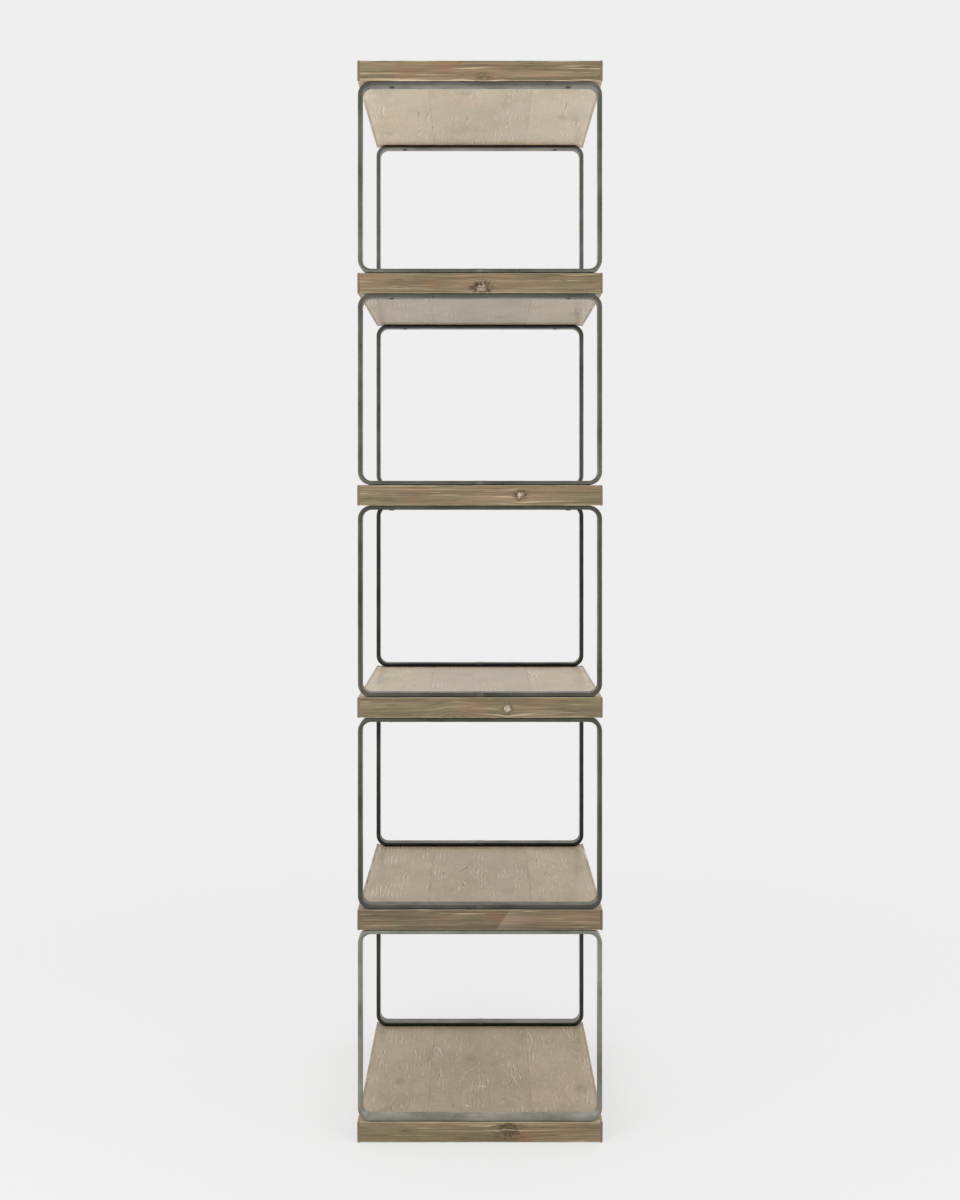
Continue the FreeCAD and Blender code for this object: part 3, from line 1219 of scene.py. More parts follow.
@dataclass
class Chisels:
    """The cutters that open checks, hollow out knots and chip arrises, modelled once at unit size."""

    stations: int = 12
    sway: tuple[float, ...] = (0.0, 0.4, 0.8, 0.95, 0.6, 0.1, -0.5, -0.8, -0.7, -0.25, 0.3, 0.4, 0.0)
    lopsided: float = 0.4
    tip_share: float = 0.06
    taper: float = 0.8
    dish_segments: int = 20
    dish_rings: int = 10
    crown_from: float = 0.75
    crown_squeeze: Triple = (0.8, 0.8, 0.92)
    check_depth_share: float = 0.5
    hollow_depth: float = 0.3 * MM
    hollow_share: float = 0.62
    chip_depth: float = 1.7 * MM
    slit: Piece = field(init=False)
    dish: Piece = field(init=False)

    def __post_init__(self) -> None:
        """Models the two cutters."""
        self.slit = self.model_slit()
        self.dish = self.model_dish()

    def model_slit(self) -> Piece:
        """A wandering crack of length, half width and half depth 1 along X, pointed at its ends and lopsided.

        Returns:
            The cutter.
        """
        stand_clear()
        bpy.ops.mesh.primitive_cylinder_add(
            vertices=4, radius=1.0, depth=1.0, end_fill_type="NGON", rotation=(0.0, QUARTER_TURN, 0.0)
        )
        slit = settle(bpy.context.object, "slit_cutter")
        gap = 1.0 / self.stations
        with editing(slit):
            pick(slit, Element.EDGE, lambda edge: run_of(edge, 0) > gap)
            bpy.ops.mesh.subdivide(number_cuts=self.stations - 1)
            for station in range(self.stations + 1):
                place = station / self.stations - 0.5
                wide = max(self.tip_share, abs(math.cos(math.pi * place)) ** self.taper)
                pick(
                    slit,
                    Element.VERTEX,
                    lambda vertex: abs(vertex.co.x - place) < gap / 2 and abs(vertex.co.z) > 0.5,
                )
                bpy.ops.transform.translate(value=(0.0, self.lopsided, 0.0))
                pick(slit, Element.VERTEX, lambda vertex: abs(vertex.co.x - place) < gap / 2)
                bpy.ops.transform.resize(value=(1.0, wide, wide), center_override=(place, 0.0, 0.0))
                bpy.ops.transform.translate(value=(0.0, self.sway[station], 0.0))
        return slit

    def model_dish(self) -> Piece:
        """A shallow round gouge of radius 1 and depth 1, for a shrunken knot or a chip.

        Returns:
            The cutter.
        """
        stand_clear()
        bpy.ops.mesh.primitive_uv_sphere_add(
            segments=self.dish_segments, ring_count=self.dish_rings, radius=1.0
        )
        dish = settle(bpy.context.object, "dish_cutter")
        with editing(dish):
            pick(dish, Element.VERTEX, lambda vertex: abs(vertex.co.z) > self.crown_from)
            bpy.ops.transform.resize(value=self.crown_squeeze, center_override=(0.0, 0.0, 0.0))
        return dish

    def put_away(self) -> None:
        """Removes the two cutters."""
        remove(self.slit)
        remove(self.dish)

    def shaped_for(self, flaw: Flaw) -> Piece:
        """Copies the right cutter at the size of one flaw.

        Args:
            flaw: What it is to carve.

        Returns:
            The cutter, facing up at the origin.
        """
        cutter = twin_of(self.slit if isinstance(flaw, Check) else self.dish, "cutter", Vector())
        if isinstance(flaw, Check):
            cutter.scale = (flaw.length, flaw.width / 2, flaw.width * self.check_depth_share)
            cutter.rotation_euler = (0.0, 0.0, flaw.turn)
        elif isinstance(flaw, Chip):
            cutter.scale = (flaw.length / 2, flaw.height, self.chip_depth)
        else:
            across = self.hollow_share * flaw.radius
            cutter.scale = (flaw.kind.value.stretch * across, across, self.hollow_depth)
        return settle(cutter, "cutter")

    def carve(
        self, piece: Piece, face: Face, middle: Vector, flaws: list[Flaw], crossing: bool = False
    ) -> None:
        """Opens the checks, hollows the knots and breaks the chips of one face.

        Args:
            piece: The piece to carve.
            face: Which face.
            middle: The middle of that face.
            flaws: What to carve.
            crossing: Whether some of these flaws may run into each other.

        Raises:
            RuntimeError: If the cut took more than the flaws away.
        """
        turn = Euler(face.value)
        cutters = []
        for flaw in flaws:
            cutter = self.shaped_for(flaw)
            cutter.rotation_euler = turn
            cutter.location = middle + turn.to_matrix() @ Vector((flaw.along, flaw.across, 0.0))
            cutters.append(cutter)
        if not cutters:
            return
        stand_clear()
        for cutter in cutters:
            cutter.select_set(True)
        whole = cutters[0]
        bpy.context.view_layer.objects.active = whole
        if len(cutters) > 1:
            bpy.ops.object.join()
        settle(whole, "cutters")
        size = span_of(piece)
        cut_away(piece, whole, crossing)
        if (span_of(piece) - size).length > MM:
            raise RuntimeError(f"Carving broke {piece.name}")


@dataclass
class BarFrames:
    """The ten closed frames of bent flat bar, one at the front and one at the rear of each tier."""

    bar_thickness: float = 8.0 * MM
    bend_radius: float = 25.0 * MM
    bend_steps: int = 14
    arris: float = 0.8 * MM
    arris_steps: int = 3
    # An edge between faces that meet at more than this angle, in radians, is an arris.
    arris_angle: float = 1.0
    run_cuts: int = 23
    width_cuts: int = 3
    unevenness: float = 0.35 * MM
    hammer_mark: float = 26.0 * MM
    weld_bead: float = 0.35 * MM
    weld_half_width: float = 2.0 * MM
    weld_reach: float = 7.0 * MM
    # How light each frame is painted, from the lowest tier up: painted light and shade for the light and
    # reflection each frame gets, with the rear frames darker and given a wider painted contact shadow.
    front_looks: tuple[FrameShading, ...] = (
        FrameShading(2.0, 2.8),
        FrameShading(1.0, 1.0),
        FrameShading(1.0, 0.95),
        FrameShading(1.3, 1.35),
        FrameShading(1.7, 1.8),
    )
    rear_looks: tuple[FrameShading, ...] = (
        FrameShading(1.0, 0.6, 7.5),
        FrameShading(0.8, 0.4, 7.5),
        FrameShading(0.8, 0.4, 7.5),
        FrameShading(1.0, 1.0, 7.5),
        FrameShading(1.4, 1.7, 7.5),
    )

    def model(self) -> Piece:
        """Bends and closes one bar, at the front of the lowest tier.

        Returns:
            The bar frame, before it is aged.
        """
        low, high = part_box("tier_1_front_frame")
        size = high - low
        middle = (low + high) / 2
        stand_clear()
        bpy.ops.mesh.primitive_plane_add(
            size=1.0, location=(middle.x, low.y, middle.z), rotation=(QUARTER_TURN, 0.0, 0.0)
        )
        bar = bpy.context.object
        bar.scale = (size.x, size.z, 1.0)
        settle(bar, "bar_frame")
        with editing(bar):
            bpy.ops.mesh.select_all(action="SELECT")
            bpy.ops.mesh.bevel(offset=self.bend_radius, segments=self.bend_steps, affect="VERTICES")
            bpy.ops.mesh.select_all(action="SELECT")
            bpy.ops.mesh.inset(thickness=self.bar_thickness, use_even_offset=True)
            bpy.ops.mesh.delete(type="FACE")
            bpy.ops.mesh.select_all(action="SELECT")
            bpy.ops.mesh.extrude_region_move(TRANSFORM_OT_translate={"value": (0.0, size.y, 0.0)})
            bpy.ops.mesh.select_all(action="SELECT")
            bpy.ops.mesh.normals_make_consistent(inside=False)
            pick(bar, Element.EDGE, lambda edge: edge.calc_face_angle(0.0) > self.arris_angle)
            bpy.ops.mesh.bevel(offset=self.arris, segments=self.arris_steps, affect="EDGES")
            pick(bar, Element.EDGE, lambda edge: edge.calc_length() > 2 * size.y)
            bpy.ops.mesh.subdivide(number_cuts=self.run_cuts)
            pick(bar, Element.EDGE, lambda edge: run_of(edge, 1) > size.y / 2)
            bpy.ops.mesh.subdivide(number_cuts=self.width_cuts)
            flat = self.bar_thickness - 2 * self.arris
            pick(
                bar,
                Element.EDGE,
                lambda edge: abs(edge.calc_length() - flat) < CLOSE and run_of(edge, 1) == 0.0,
            )
            bpy.ops.mesh.subdivide(number_cuts=1)
            weld_top = low.z + self.bar_thickness
            pick(
                bar,
                Element.VERTEX,
                lambda vertex: abs(vertex.co.x) < self.weld_half_width
                and abs(vertex.co.z - weld_top) < CLOSE,
            )
            bpy.ops.transform.translate(
                value=(0.0, 0.0, self.weld_bead),
                use_proportional_edit=True,
                proportional_edit_falloff="SMOOTH",
                proportional_size=self.weld_reach,
                use_proportional_connected=True,
            )
        return bar

    def build(self) -> None:
        """Copies the frame to its ten places, ages and dresses each one."""
        pattern = self.model()
        home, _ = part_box("tier_1_front_frame")
        for tier in range(1, TIER_COUNT + 1):
            for end, looks in (("front", self.front_looks), ("rear", self.rear_looks)):
                node = f"tier_{tier}_{end}_frame"
                low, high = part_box(node)
                bar = twin_of(pattern, f"{node}_bar", low - home)
                roughen(bar, self.hammer_mark, self.unevenness)
                finish_shape(bar)
                FRAME_STEEL.dress(bar, low, high, looks[tier - 1])
                install(bar, node)
        remove(pattern)


@dataclass
class Shelves:
    """The six shelves: three boards, a rail across each end of them and a thin lipping along each side."""

    arris: float = 2.0 * MM
    arris_steps: int = 4
    # Wear reaches this much farther than the rounding of an arris, and stops short of a rail's ends.
    wear_reach: float = 1.2
    wear_stop: float = 4.0 * MM
    wear: float = 0.9 * MM
    wear_lump: float = 18.0 * MM
    seam_ease: float = 0.7 * MM
    seam_steps: int = 2
    length_cuts: int = 63
    base_head_radius: float = 4.75 * MM
    sink_radius: float = 5.95 * MM
    sink_depth: float = 7.0 * MM
    glide_radius: float = 12.5 * MM
    glide_clearance: float = 0.3 * MM
    bore_sides: int = 40

    # Flaws keep off the edges of a face, chips keep farther off its ends, and all keep apart from each other.
    whole_strip: float = 7.0 * MM
    chip_strip: float = 35.0 * MM
    flaw_gap: float = 7.0 * MM
    knot_reach: float = 2.2
    shown_width: float = 5.2 * MM
    fine_widths: Span = (0.7 * MM, 1.2 * MM)
    open_widths: Span = (1.2 * MM, 2.4 * MM)
    check_lengths_mm: Span = (14.0, 48.0)
    check_turns: Span = (-5.0, 5.0)
    chip_lengths_mm: Span = (8.0, 20.0)
    chip_heights_mm: Span = (1.3, 2.4)
    rail_checks: int = 6
    rail_chips: int = 5
    board_checks: int = 9
    # Boards that have long checks get fewer short ones.
    spare_checks: int = 4
    knot_radii_mm: Span = (5.0, 9.0)
    knot_heights_mm: Span = (-8.0, 8.0)
    knot_shares: Span = (0.1, 0.8)
    board_knot_shares: Span = (-0.85, 0.85)
    board_knot_side_shares: Span = (-0.7, 0.7)
    seeds: Span = (0.0, 900.0)

    # How light the rails and wide faces of each shelf are, and how strongly it is limed, from the floor up.
    # The tones are painted light and shade for the light that falls on each shelf, and on the wide faces
    # painted sheen too.
    rail_tones: tuple[float, ...] = (1.0, 0.74, 0.94, 1.02, 1.04, 1.16)
    face_light_tones: tuple[float, ...] = (1.04, 1.12, 1.58, 1.12, 0.93, 1.4)
    washes: tuple[float, ...] = (0.06, 0.12, 0.5, 0.2, 0.2, 0.55)
    # How light the left, the middle and the right board came out beside each other.
    board_tones: tuple[float, float, float] = (1.02, 0.97, 1.06)
    tone_range: Span = (0.96, 1.04)
    # The marks on the front rails: the shelf, millimetres right of and above its middle, radius and kind.
    front_marks: tuple[tuple[int, float, float, float, KnotKind], ...] = (
        (1, 54.0, 4.0, 11.0, KnotKind.SPLIT),
        (1, 84.0, -9.0, 10.0, KnotKind.STAIN),
        (2, 70.0, -2.0, 18.0, KnotKind.PATCH),
        (2, 22.0, 8.0, 11.0, KnotKind.STAIN),
        (3, 51.0, -2.0, 7.0, KnotKind.SMALL),
        (3, -10.0, -2.0, 13.0, KnotKind.STAIN),
        (3, -48.0, -21.0, 13.0, KnotKind.SWIRL),
        (4, 75.0, 1.0, 6.0, KnotKind.STARRED),
        (4, -125.0, -12.0, 6.0, KnotKind.STAIN),
        (5, 3.0, -10.0, 9.0, KnotKind.FEATHERED),
        (5, -88.0, 0.0, 10.0, KnotKind.STAIN),
        (6, 8.0, -13.0, 6.0, KnotKind.FAINT),
        (6, -63.0, 6.0, 11.0, KnotKind.STAIN),
        (6, -142.0, 0.0, 12.0, KnotKind.STAIN),
    )
    # Long checks in wide faces: x and y of the middle and the length in millimetres, the turn in degrees.
    low_top_checks: tuple[LongCheck, ...] = (
        (-82.0, -39.0, 122.0, -2.0),
        (-86.0, 93.0, 62.0, 23.0),
        (107.0, 139.0, 150.0, -1.0),
        (4.0, -92.0, 30.0, 90.0),
        (-23.0, -183.0, 22.0, 84.0),
        (-15.0, -8.0, 20.0, -50.0),
        (62.0, -66.0, 74.0, -12.0),
        (77.0, -58.0, 66.0, -8.0),
    )
    second_top_checks: tuple[LongCheck, ...] = (
        (-74.0, 17.0, 66.0, -2.0),
        (-31.0, 47.0, 110.0, -14.0),
        (-32.0, -75.0, 66.0, 2.0),
        (57.0, -13.0, 40.0, 20.0),
        (80.0, -32.0, 40.0, -10.0),
        (136.0, 20.0, 82.0, -7.0),
        (115.0, 93.0, 24.0, 88.0),
        (44.0, -170.0, 22.0, 0.0),
    )
    top_underside_checks: tuple[LongCheck, ...] = (
        (-90.0, -104.0, 40.0, 8.0),
        (-107.0, 0.0, 104.0, -3.0),
        (-124.0, -6.0, 92.0, 1.0),
        (-130.0, 134.0, 62.0, -6.0),
        (-88.0, 93.0, 28.0, 12.0),
        (-27.0, 33.0, 96.0, 0.0),
        (171.0, -54.0, 160.0, 1.0),
        (58.0, 46.0, 40.0, 14.0),
        (141.0, 134.0, 46.0, -4.0),
    )
    chisels: Chisels = field(default_factory=Chisels)

    def model_rail(self) -> Piece:
        """The front rail of the lowest shelf, with its two long front arrises rounded.

        Returns:
            The rail, before it is aged.
        """
        low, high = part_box("shelf_1_front_rail")
        rail = new_block("rail", low, high)
        with editing(rail):
            pick(
                rail,
                Element.EDGE,
                lambda edge: all(v.co.y < low.y + MM for v in edge.verts) and run_of(edge, 2) < MM,
            )
            bpy.ops.mesh.bevel(offset=self.arris, segments=self.arris_steps, affect="EDGES")
            pick(rail, Element.EDGE, lambda edge: run_of(edge, 0) > MM)
            bpy.ops.mesh.subdivide(number_cuts=self.length_cuts)
        return rail

    def model_edge(self) -> Piece:
        """The left lipping of the lowest shelf, with every outer arris rounded.

        Returns:
            The lipping, before it is aged.
        """
        low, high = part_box("shelf_1_left_edge")
        lipping = new_block("lipping", low, high)
        with editing(lipping):
            pick(lipping, Element.EDGE, lambda edge: all(v.co.x < low.x + MM for v in edge.verts))
            bpy.ops.mesh.bevel(offset=self.arris, segments=self.arris_steps, affect="EDGES")
            pick(lipping, Element.EDGE, lambda edge: run_of(edge, 1) > (high.y - low.y) / 2)
            bpy.ops.mesh.subdivide(number_cuts=self.length_cuts)
        return lipping

    def model_board(self, node: str) -> Piece:
        """One board of the lowest shelf, with its long arrises eased so that the seams show.

        Args:
            node: The board's node.

        Returns:
            The board, before it is carved.
        """
        low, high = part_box(node)
        _, rail_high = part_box("shelf_1_front_rail")
        low.y = rail_high.y
        high.y = -rail_high.y
        board = new_block("board", low, high)
        with editing(board):
            pick(board, Element.EDGE, lambda edge: run_of(edge, 1) > (high.y - low.y) / 2)
            bpy.ops.mesh.bevel(offset=self.seam_ease, segments=self.seam_steps, affect="EDGES")
        return board

    def raise_copy(self, pattern: Piece, node: str, rise: float, far_side: bool = False) -> Piece:
        """Copies a modelled piece up to its shelf, turned half round for the far side.

        Args:
            pattern: The modelled piece.
            node: The node that the copy stands for.
            rise: How far up the shelf is.
            far_side: Whether the copy belongs at the rear or the right.

        Returns:
            The copy.
        """
        copy = twin_of(pattern, f"{node}_wood", Vector((0.0, 0.0, rise)))
        if far_side:
            copy.rotation_euler = (0.0, 0.0, math.pi)
            settle(copy, copy.name)
        return copy

    def wear_down(self, piece: Piece, test: Callable[[Vector], bool]) -> None:
        """Wears the arrises of a piece unevenly.

        Args:
            piece: The piece.
            test: Says whether a place is on an outer arris.
        """
        group = piece.vertex_groups.new(name="worn")
        group.add([v.index for v in piece.data.vertices if test(v.co)], 1.0, "REPLACE")
        roughen(piece, self.wear_lump, self.wear, group.name)

    def sink_holes(self, piece: Piece, places: list[Vector], radius: float, depth: float) -> None:
        """Bores flat-bottomed holes up into a piece from below.

        Args:
            piece: The piece to bore.
            places: The middle of each hole's mouth.
            radius: The holes' radius.
            depth: How far they go in.
        """
        for place in places:
            stand_clear()
            bpy.ops.mesh.primitive_cylinder_add(
                vertices=self.bore_sides, radius=radius, depth=2 * depth, location=place
            )
            cut_away(piece, settle(bpy.context.object, "bore_cutter"))

    def clear_of(self, flaw: Check | Chip, others: list[Flaw]) -> bool:
        """Whether a flaw has sound wood between it and the others.

        Args:
            flaw: The flaw to place.
            others: The flaws that are there.

        Returns:
            True if it touches none.
        """
        for other in others:
            knot = isinstance(other, Knot)
            reach = self.knot_reach * other.radius if knot else other.length / 2
            apart = abs(flaw.along - other.along) > reach + flaw.length / 2
            side = other.radius if knot else 0.0
            if not apart and abs(flaw.across - other.across) < side + self.flaw_gap:
                return False
        return True

    def scatter_checks(
        self, draw: random.Random, count: int, half: Vector, widths: Span, others: list[Flaw]
    ) -> list[Check]:
        """Scatters short drying checks over a face.

        Args:
            draw: The piece's own random draws.
            count: How many to try.
            half: Half the face's size along and across the grain.
            widths: The narrowest and the widest check.
            others: The flaws to keep clear of.

        Returns:
            The checks.
        """
        checks: list[Check] = []
        for _ in range(count):
            length = draw.uniform(*self.check_lengths_mm) * MM
            check = Check(
                draw.uniform(-1.0, 1.0) * (half.x - length / 2 - self.whole_strip),
                draw.uniform(-1.0, 1.0) * (half.y - self.whole_strip),
                length,
                draw.uniform(*widths),
                math.radians(draw.choice((0.0, 180.0)) + draw.uniform(*self.check_turns)),
            )
            if self.clear_of(check, [*others, *checks]):
                checks.append(check)
        return checks

    def scatter_chips(
        self, draw: random.Random, count: int, half: Vector, others: list[Flaw]
    ) -> list[Chip]:
        """Scatters chips along the two long arrises of a face, most of them on the lower one.

        Args:
            draw: The piece's own random draws.
            count: How many to try.
            half: Half the face's size along and across the grain.
            others: The flaws to keep clear of.

        Returns:
            The chips.
        """
        chips: list[Chip] = []
        for _ in range(count):
            side = draw.choice((-1.0, -1.0, 1.0))
            chip = Chip(
                draw.uniform(-1.0, 1.0) * (half.x - self.chip_strip),
                side * half.y,
                draw.uniform(*self.chip_lengths_mm) * MM,
                draw.uniform(*self.chip_heights_mm) * MM,
            )
            if self.clear_of(chip, [*others, *chips]):
                chips.append(chip)
        return chips

    def shown_checks(self, number: int, face: Face, centre: Vector, half: Vector) -> list[Check]:
        """The long checks of one board's face, for the faces where they are known.

        Args:
            number: The shelf, counted from the floor.
            face: The board's face.
            centre: The board's middle.
            half: Half the face's size along and across the grain.

        Returns:
            The checks whose middle lies on this board.
        """
        known = {
            (1, Face.TOP): self.low_top_checks,
            (2, Face.TOP): self.second_top_checks,
            (SHELF_COUNT, Face.BOTTOM): self.top_underside_checks,
        }.get((number, face), ())
        handed, about = (-1.0, 0.0) if face is Face.TOP else (1.0, 180.0)
        checks = []
        for x, y, length, turn in known:
            across = handed * (x * MM - centre.x)
            if abs(across) < half.y - self.whole_strip:
                slant = math.radians(turn + about)
                checks.append(Check(y * MM, across, length * MM, self.shown_width, slant))
        return checks

    def chance_knots(self, draw: random.Random, reach: float) -> list[Knot]:
        """One clear knot and one red stain at chance places on a piece at the side or the rear.

        Args:
            draw: The piece's own random draws.
            reach: Half the piece's length.

        Returns:
            The two.
        """
        clear = draw.choice((KnotKind.STARRED, KnotKind.SMALL, KnotKind.FEATHERED, KnotKind.SPLIT))
        side = draw.choice((-1.0, 1.0)) * reach
        return [
            Knot(
                end * draw.uniform(*self.knot_shares),
                draw.uniform(*self.knot_heights_mm) * MM,
                draw.uniform(*self.knot_radii_mm) * MM,
                kind,
            )
            for end, kind in ((side, clear), (-side, KnotKind.STAIN))
        ]

    def seen_knots(self, number: int) -> list[Knot]:
        """The knots and marks that show on one shelf's front rail."""
        marks = [mark[1:] for mark in self.front_marks if mark[0] == number]
        return [Knot(x * MM, z * MM, radius * MM, kind) for x, z, radius, kind in marks]

    def build_rails(self, number: int, pattern: Piece) -> None:
        """Copies, ages and dresses the front and rear rail of one shelf.

        Args:
            number: The shelf, counted from the floor.
            pattern: The modelled rail.
        """
        home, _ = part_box("shelf_1_front_rail")
        for end, face in (("front", Face.FRONT), ("rear", Face.REAR)):
            front = face is Face.FRONT
            node = f"shelf_{number}_{end}_rail"
            low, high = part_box(node)
            centre = (low + high) / 2
            half = Vector(((high.x - low.x) / 2, (high.z - low.z) / 2))
            outer = low.y if front else high.y
            draw = random.Random(f"rail {number} {end}")
            rail = self.raise_copy(pattern, node, low.z - home.z, far_side=not front)
            reach = self.wear_reach * self.arris
            worn_to = high.x - self.wear_stop
            self.wear_down(rail, lambda place: abs(place.y - outer) < reach and abs(place.x) < worn_to)
            knots = self.seen_knots(number) if front else self.chance_knots(draw, half.x)
            upright = 1.0 if front else -1.0
            carved = [replace(knot, across=upright * knot.across) for knot in knots]
            flaws = [knot for knot in carved if knot.kind.value.hollow]
            flaws += self.scatter_checks(draw, self.rail_checks, half, self.fine_widths, carved)
            flaws += self.scatter_chips(draw, self.rail_chips, half, carved)
            self.chisels.carve(rail, face, Vector((centre.x, outer, centre.z)), flaws)
            if number == 1:
                _, screw_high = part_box("base_screws")
                bore_x = screw_high.x - self.base_head_radius
                bore_y = math.copysign(screw_high.y - self.base_head_radius, centre.y)
                places = [Vector((side * bore_x, bore_y, low.z)) for side in (-1, 1)]
                self.sink_holes(rail, places, self.sink_radius, self.sink_depth)
            finish_shape(rail)
            cut = Cut(
                grain=Grain.ACROSS_FRONT,
                centre=centre,
                half_along=half.x + self.whole_strip,
                half_across=half.y,
                half_depth=(high.y - low.y) / 2,
                seed=draw.uniform(*self.seeds),
                tone=self.rail_tones[number - 1],
                face_tone=self.face_light_tones[number - 1],
                knots=tuple(knots),
            )
            EDGE_OAK.dress(rail, cut)
            install(rail, node)

    def build_edges(self, number: int, pattern: Piece) -> None:
        """Copies, ages and dresses the two side lippings of one shelf.

        Args:
            number: The shelf, counted from the floor.
            pattern: The modelled lipping.
        """
        home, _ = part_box("shelf_1_left_edge")
        for side in ("left", "right"):
            node = f"shelf_{number}_{side}_edge"
            low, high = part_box(node)
            half = (high - low) / 2
            draw = random.Random(f"edge {number} {side}")
            lipping = self.raise_copy(pattern, node, low.z - home.z, far_side=side == "right")
            outer = low.x if side == "left" else high.x
            reach = self.wear_reach * self.arris
            self.wear_down(lipping, lambda place: abs(place.x - outer) < reach)
            finish_shape(lipping)
            knots = self.chance_knots(draw, half.y)
            cut = Cut(
                grain=Grain.ALONG_SIDE,
                centre=(low + high) / 2,
                half_along=half.y,
                half_across=half.z,
                half_depth=half.x,
                seed=draw.uniform(*self.seeds),
                tone=self.rail_tones[number - 1],
                face_tone=self.face_light_tones[number - 1],
                knots=tuple(knots),
                checked=False,
            )
            EDGE_OAK.dress(lipping, cut)
            install(lipping, node)

    def build_boards(self, number: int, patterns: dict[str, Piece]) -> None:
        """Copies, carves and dresses the three boards of one shelf.

        Args:
            number: The shelf, counted from the floor.
            patterns: The modelled boards by name.
        """
        face_tone = self.face_light_tones[number - 1]
        for (name, pattern), board_tone in zip(patterns.items(), self.board_tones):
            node = f"shelf_{number}_{name}"
            home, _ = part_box(f"shelf_1_{name}")
            low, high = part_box(node)
            _, rail_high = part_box(f"shelf_{number}_front_rail")
            centre = (low + high) / 2
            half = Vector((-rail_high.y, (high.x - low.x) / 2))
            draw = random.Random(f"board {number} {name}")
            board = self.raise_copy(pattern, node, low.z - home.z)
            knot = Knot(
                draw.uniform(*self.board_knot_shares) * half.x,
                draw.uniform(*self.board_knot_side_shares) * half.y,
                draw.uniform(*self.knot_radii_mm) * MM,
                KnotKind.FAINT,
            )
            for face, height in ((Face.TOP, high.z), (Face.BOTTOM, low.z)):
                shown = self.shown_checks(number, face, centre, half)
                count = self.spare_checks if shown else self.board_checks
                scattered = self.scatter_checks(draw, count, half, self.open_widths, shown)
                middle = Vector((centre.x, centre.y, height))
                self.chisels.carve(board, face, middle, [*shown, *scattered], crossing=bool(shown))
            if number == 1:
                _, glide_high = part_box("floor_glides")
                x = glide_high.x - self.glide_radius
                y = glide_high.y - self.glide_radius
                places = [Vector((side * x, end * y, low.z)) for side in (-1, 1) for end in (-1, 1)]
                inside = [place for place in places if low.x < place.x < high.x]
                self.sink_holes(board, inside, self.glide_radius + self.glide_clearance, glide_high.z - low.z)
            finish_shape(board)
            cut = Cut(
                grain=Grain.INTO_DEPTH,
                centre=centre,
                half_along=half.x + self.whole_strip,
                half_across=half.y,
                half_depth=(high.z - low.z) / 2,
                seed=draw.uniform(*self.seeds),
                tone=face_tone * board_tone * draw.uniform(*self.tone_range),
                face_tone=face_tone,
                knots=(knot,),
                wash=self.washes[number - 1],
                worn_arris=False,
            )
            FACE_OAK.dress(board, cut)
            install(board, node)

    def build(self) -> None:
        """Models each kind of piece once, then makes the six shelves from them."""
        rail = self.model_rail()
        lipping = self.model_edge()
        names = ("left_board", "middle_board", "right_board")
        boards = {name: self.model_board(f"shelf_1_{name}") for name in names}
        for number in range(1, SHELF_COUNT + 1):
            self.build_rails(number, rail)
            self.build_edges(number, lipping)
            self.build_boards(number, boards)
        for pattern in (rail, lipping, *boards.values()):
            remove(pattern)
        self.chisels.put_away()


@dataclass
class Hardware:
    """The screws, inserts and glides, which keep their own shapes and get their finishes."""

    finishes: dict[str, SmallFinish] = field(
        default_factory=lambda: {
            "through_screws": BLACK_SCREW,
            "top_screws": BLACK_SCREW,
            "base_screws": BLACK_SCREW,
            "glide_screws": ZINC,
            "top_inserts": ZINC,
            "floor_glides": NYLON,
        }
    )

    def dress(self) -> None:
        """Puts its finish on each group of hardware."""
        for name, finish in self.finishes.items():
            finish.dress(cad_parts[name])
            LOG.info("%s: %s", name, finish.name)


@dataclass(frozen=True)
class Lamp:
    """One square soft lamp: where it hangs, in metres, and its power in watts."""

    name: str
    place: Triple
    power: float


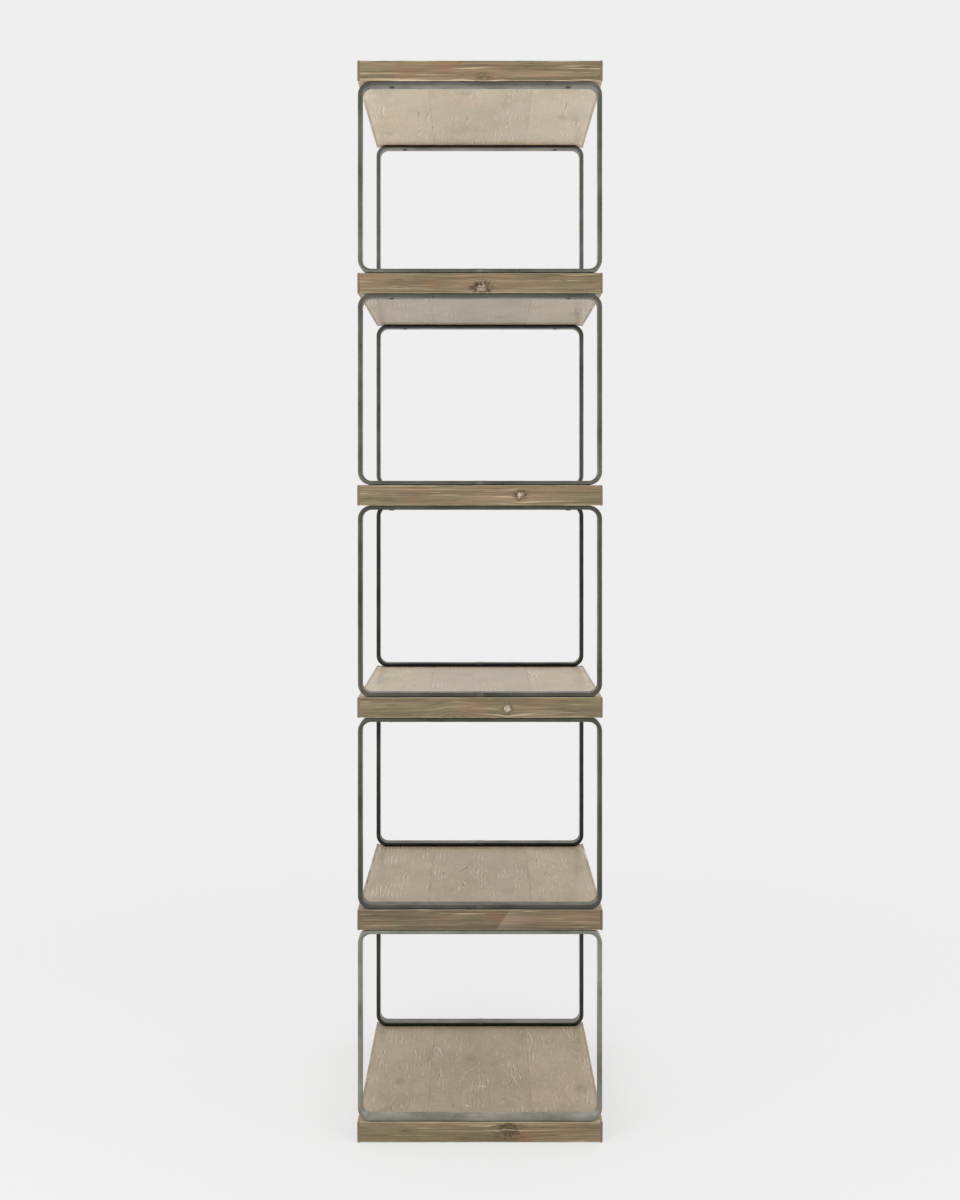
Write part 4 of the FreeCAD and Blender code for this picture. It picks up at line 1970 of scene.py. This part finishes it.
@dataclass
class Studio:
    """A pale floor, an even pale surround, two soft lamps and the camera."""

    pale: float = 0.86
    # The surround's light from in front, from behind and from above, and where one gives way to the next.
    room: float = 0.42
    backdrop: float = 1.05
    ceiling: float = 0.85
    backdrop_span: Span = (-0.75, 0.55)
    ceiling_span: Span = (0.05, 0.6)
    paint: float = 0.88
    glow_share: float = 0.68
    floor_half: float = 9.0
    fade_span: Span = (0.8, 2.6)
    lamps: tuple[Lamp, ...] = (
        Lamp("left_softbox", (-2.1, -2.7, 0.95), 64.0),
        Lamp("right_softbox", (2.3, -2.4, 0.85), 42.0),
    )
    lamp_side: float = 1.8
    lamp_aim: Triple = (0.0, 0.0, 1.15)
    camera_place: Triple = (0.0, -2.9105, 1.2005)
    lens: float = 42.84
    film_width: float = 36.0
    shift_up: float = -0.085

    def seen_share(self, tree: Tree) -> Socket:
        """Tells the rays that show the surround, straight or mirrored, from the rays that light the part.

        Args:
            tree: The nodes of a material or the world.

        Returns:
            1 for a ray that shows the surround, else 0.
        """
        straight, glossy, through = (
            add_node(tree, "LightPath", out=f"Is {kind} Ray") for kind in ("Camera", "Glossy", "Transmission")
        )
        mirrored = add_node(tree, "Math", {0: glossy, 1: through}, operation="MAXIMUM")
        return add_node(tree, "Math", {0: straight, 1: mirrored}, operation="MAXIMUM")

    def light_room(self) -> None:
        """Fills the surround: pale for the eye, and bright behind and above the part for light and gloss."""
        world = bpy.data.worlds.new("studio")
        bpy.context.scene.world = world
        world.use_nodes = True
        tree = world.node_tree
        tree.nodes.clear()
        way = add_node(tree, "TexCoord", out="Generated")
        depth = add_node(tree, "SeparateXYZ", {0: way}, out="Y")
        height = add_node(tree, "SeparateXYZ", {0: way}, out="Z")
        level = add_node(
            tree, "MapRange", spread(depth, self.backdrop_span, self.backdrop, self.room), **EASED
        )
        above = add_node(tree, "MapRange", spread(height, self.ceiling_span))
        lit = add_node(tree, "Mix", {0: above, 2: level, 3: self.ceiling}, data_type="FLOAT")
        around = add_node(tree, "Background", {"Color": lit})
        seen = add_node(tree, "Background", {"Color": grey(self.pale)})
        both = add_node(tree, "MixShader", {0: self.seen_share(tree), 1: around, 2: seen})
        add_node(tree, "OutputWorld", {"Surface": both})

    def lay_floor(self) -> None:
        """Lays a pale floor that keeps the part's shadow and melts into the surround."""
        stand_clear()
        bpy.ops.mesh.primitive_plane_add(size=2 * self.floor_half)
        floor = settle(bpy.context.object, "studio_floor")
        material, tree = new_material("studio_floor_paint")
        place = add_node(tree, "TexCoord", out="Object")
        reach = add_node(tree, "VectorMath", {0: place}, out="Value", operation="LENGTH")
        fade = add_node(tree, "MapRange", spread(reach, self.fade_span), **EASED)
        eye = self.seen_share(tree)
        paint = add_node(tree, "BsdfDiffuse", {"Color": grey(self.paint)})
        glow = add_node(tree, "Emission", {"Color": grey(self.pale)})
        even = add_node(tree, "Math", {0: eye, 1: self.glow_share}, operation="MULTIPLY")
        near = add_node(tree, "MixShader", {0: even, 1: paint, 2: glow})
        far = add_node(tree, "Math", {0: eye, 1: fade}, operation="MULTIPLY")
        clear = add_node(tree, "BsdfTransparent")
        both = add_node(tree, "MixShader", {0: far, 1: near, 2: clear})
        add_node(tree, "OutputMaterial", {"Surface": both})
        put_on(floor, material)

    def hang_lamp(self, lamp: Lamp) -> None:
        """Hangs one soft lamp and turns it to the part.

        Args:
            lamp: The lamp.
        """
        place = Vector(lamp.place)
        stand_clear()
        bpy.ops.object.light_add(type="AREA", location=place)
        softbox = bpy.context.object
        softbox.name = lamp.name
        softbox.rotation_euler = (Vector(self.lamp_aim) - place).to_track_quat("-Z", "Y").to_euler()
        softbox.data.shape = "SQUARE"
        softbox.data.size = self.lamp_side
        softbox.data.energy = lamp.power
        softbox.visible_camera = False

    def place_camera(self) -> None:
        """Stands the camera level in front of the part, as the photograph was taken."""
        stand_clear()
        bpy.ops.object.camera_add(location=self.camera_place, rotation=(QUARTER_TURN, 0.0, 0.0))
        camera = bpy.context.object
        camera.data.lens = self.lens
        camera.data.sensor_width = self.film_width
        camera.data.shift_y = self.shift_up
        bpy.context.scene.camera = camera

    def set_up(self) -> None:
        """Sets the light, the floor and the camera."""
        bpy.context.scene.view_settings.view_transform = "Standard"
        self.light_room()
        self.lay_floor()
        for lamp in self.lamps:
            self.hang_lamp(lamp)
        self.place_camera()
        LOG.info("studio ready")


def main() -> None:
    """Builds the frames, the shelves, the hardware finishes and the studio, in that order."""
    logging.basicConfig(level=logging.INFO, format="%(name)s: %(message)s")
    BarFrames().build()
    Shelves().build()
    Hardware().dress()
    Studio().set_up()


if __name__ == "__main__":
    main()
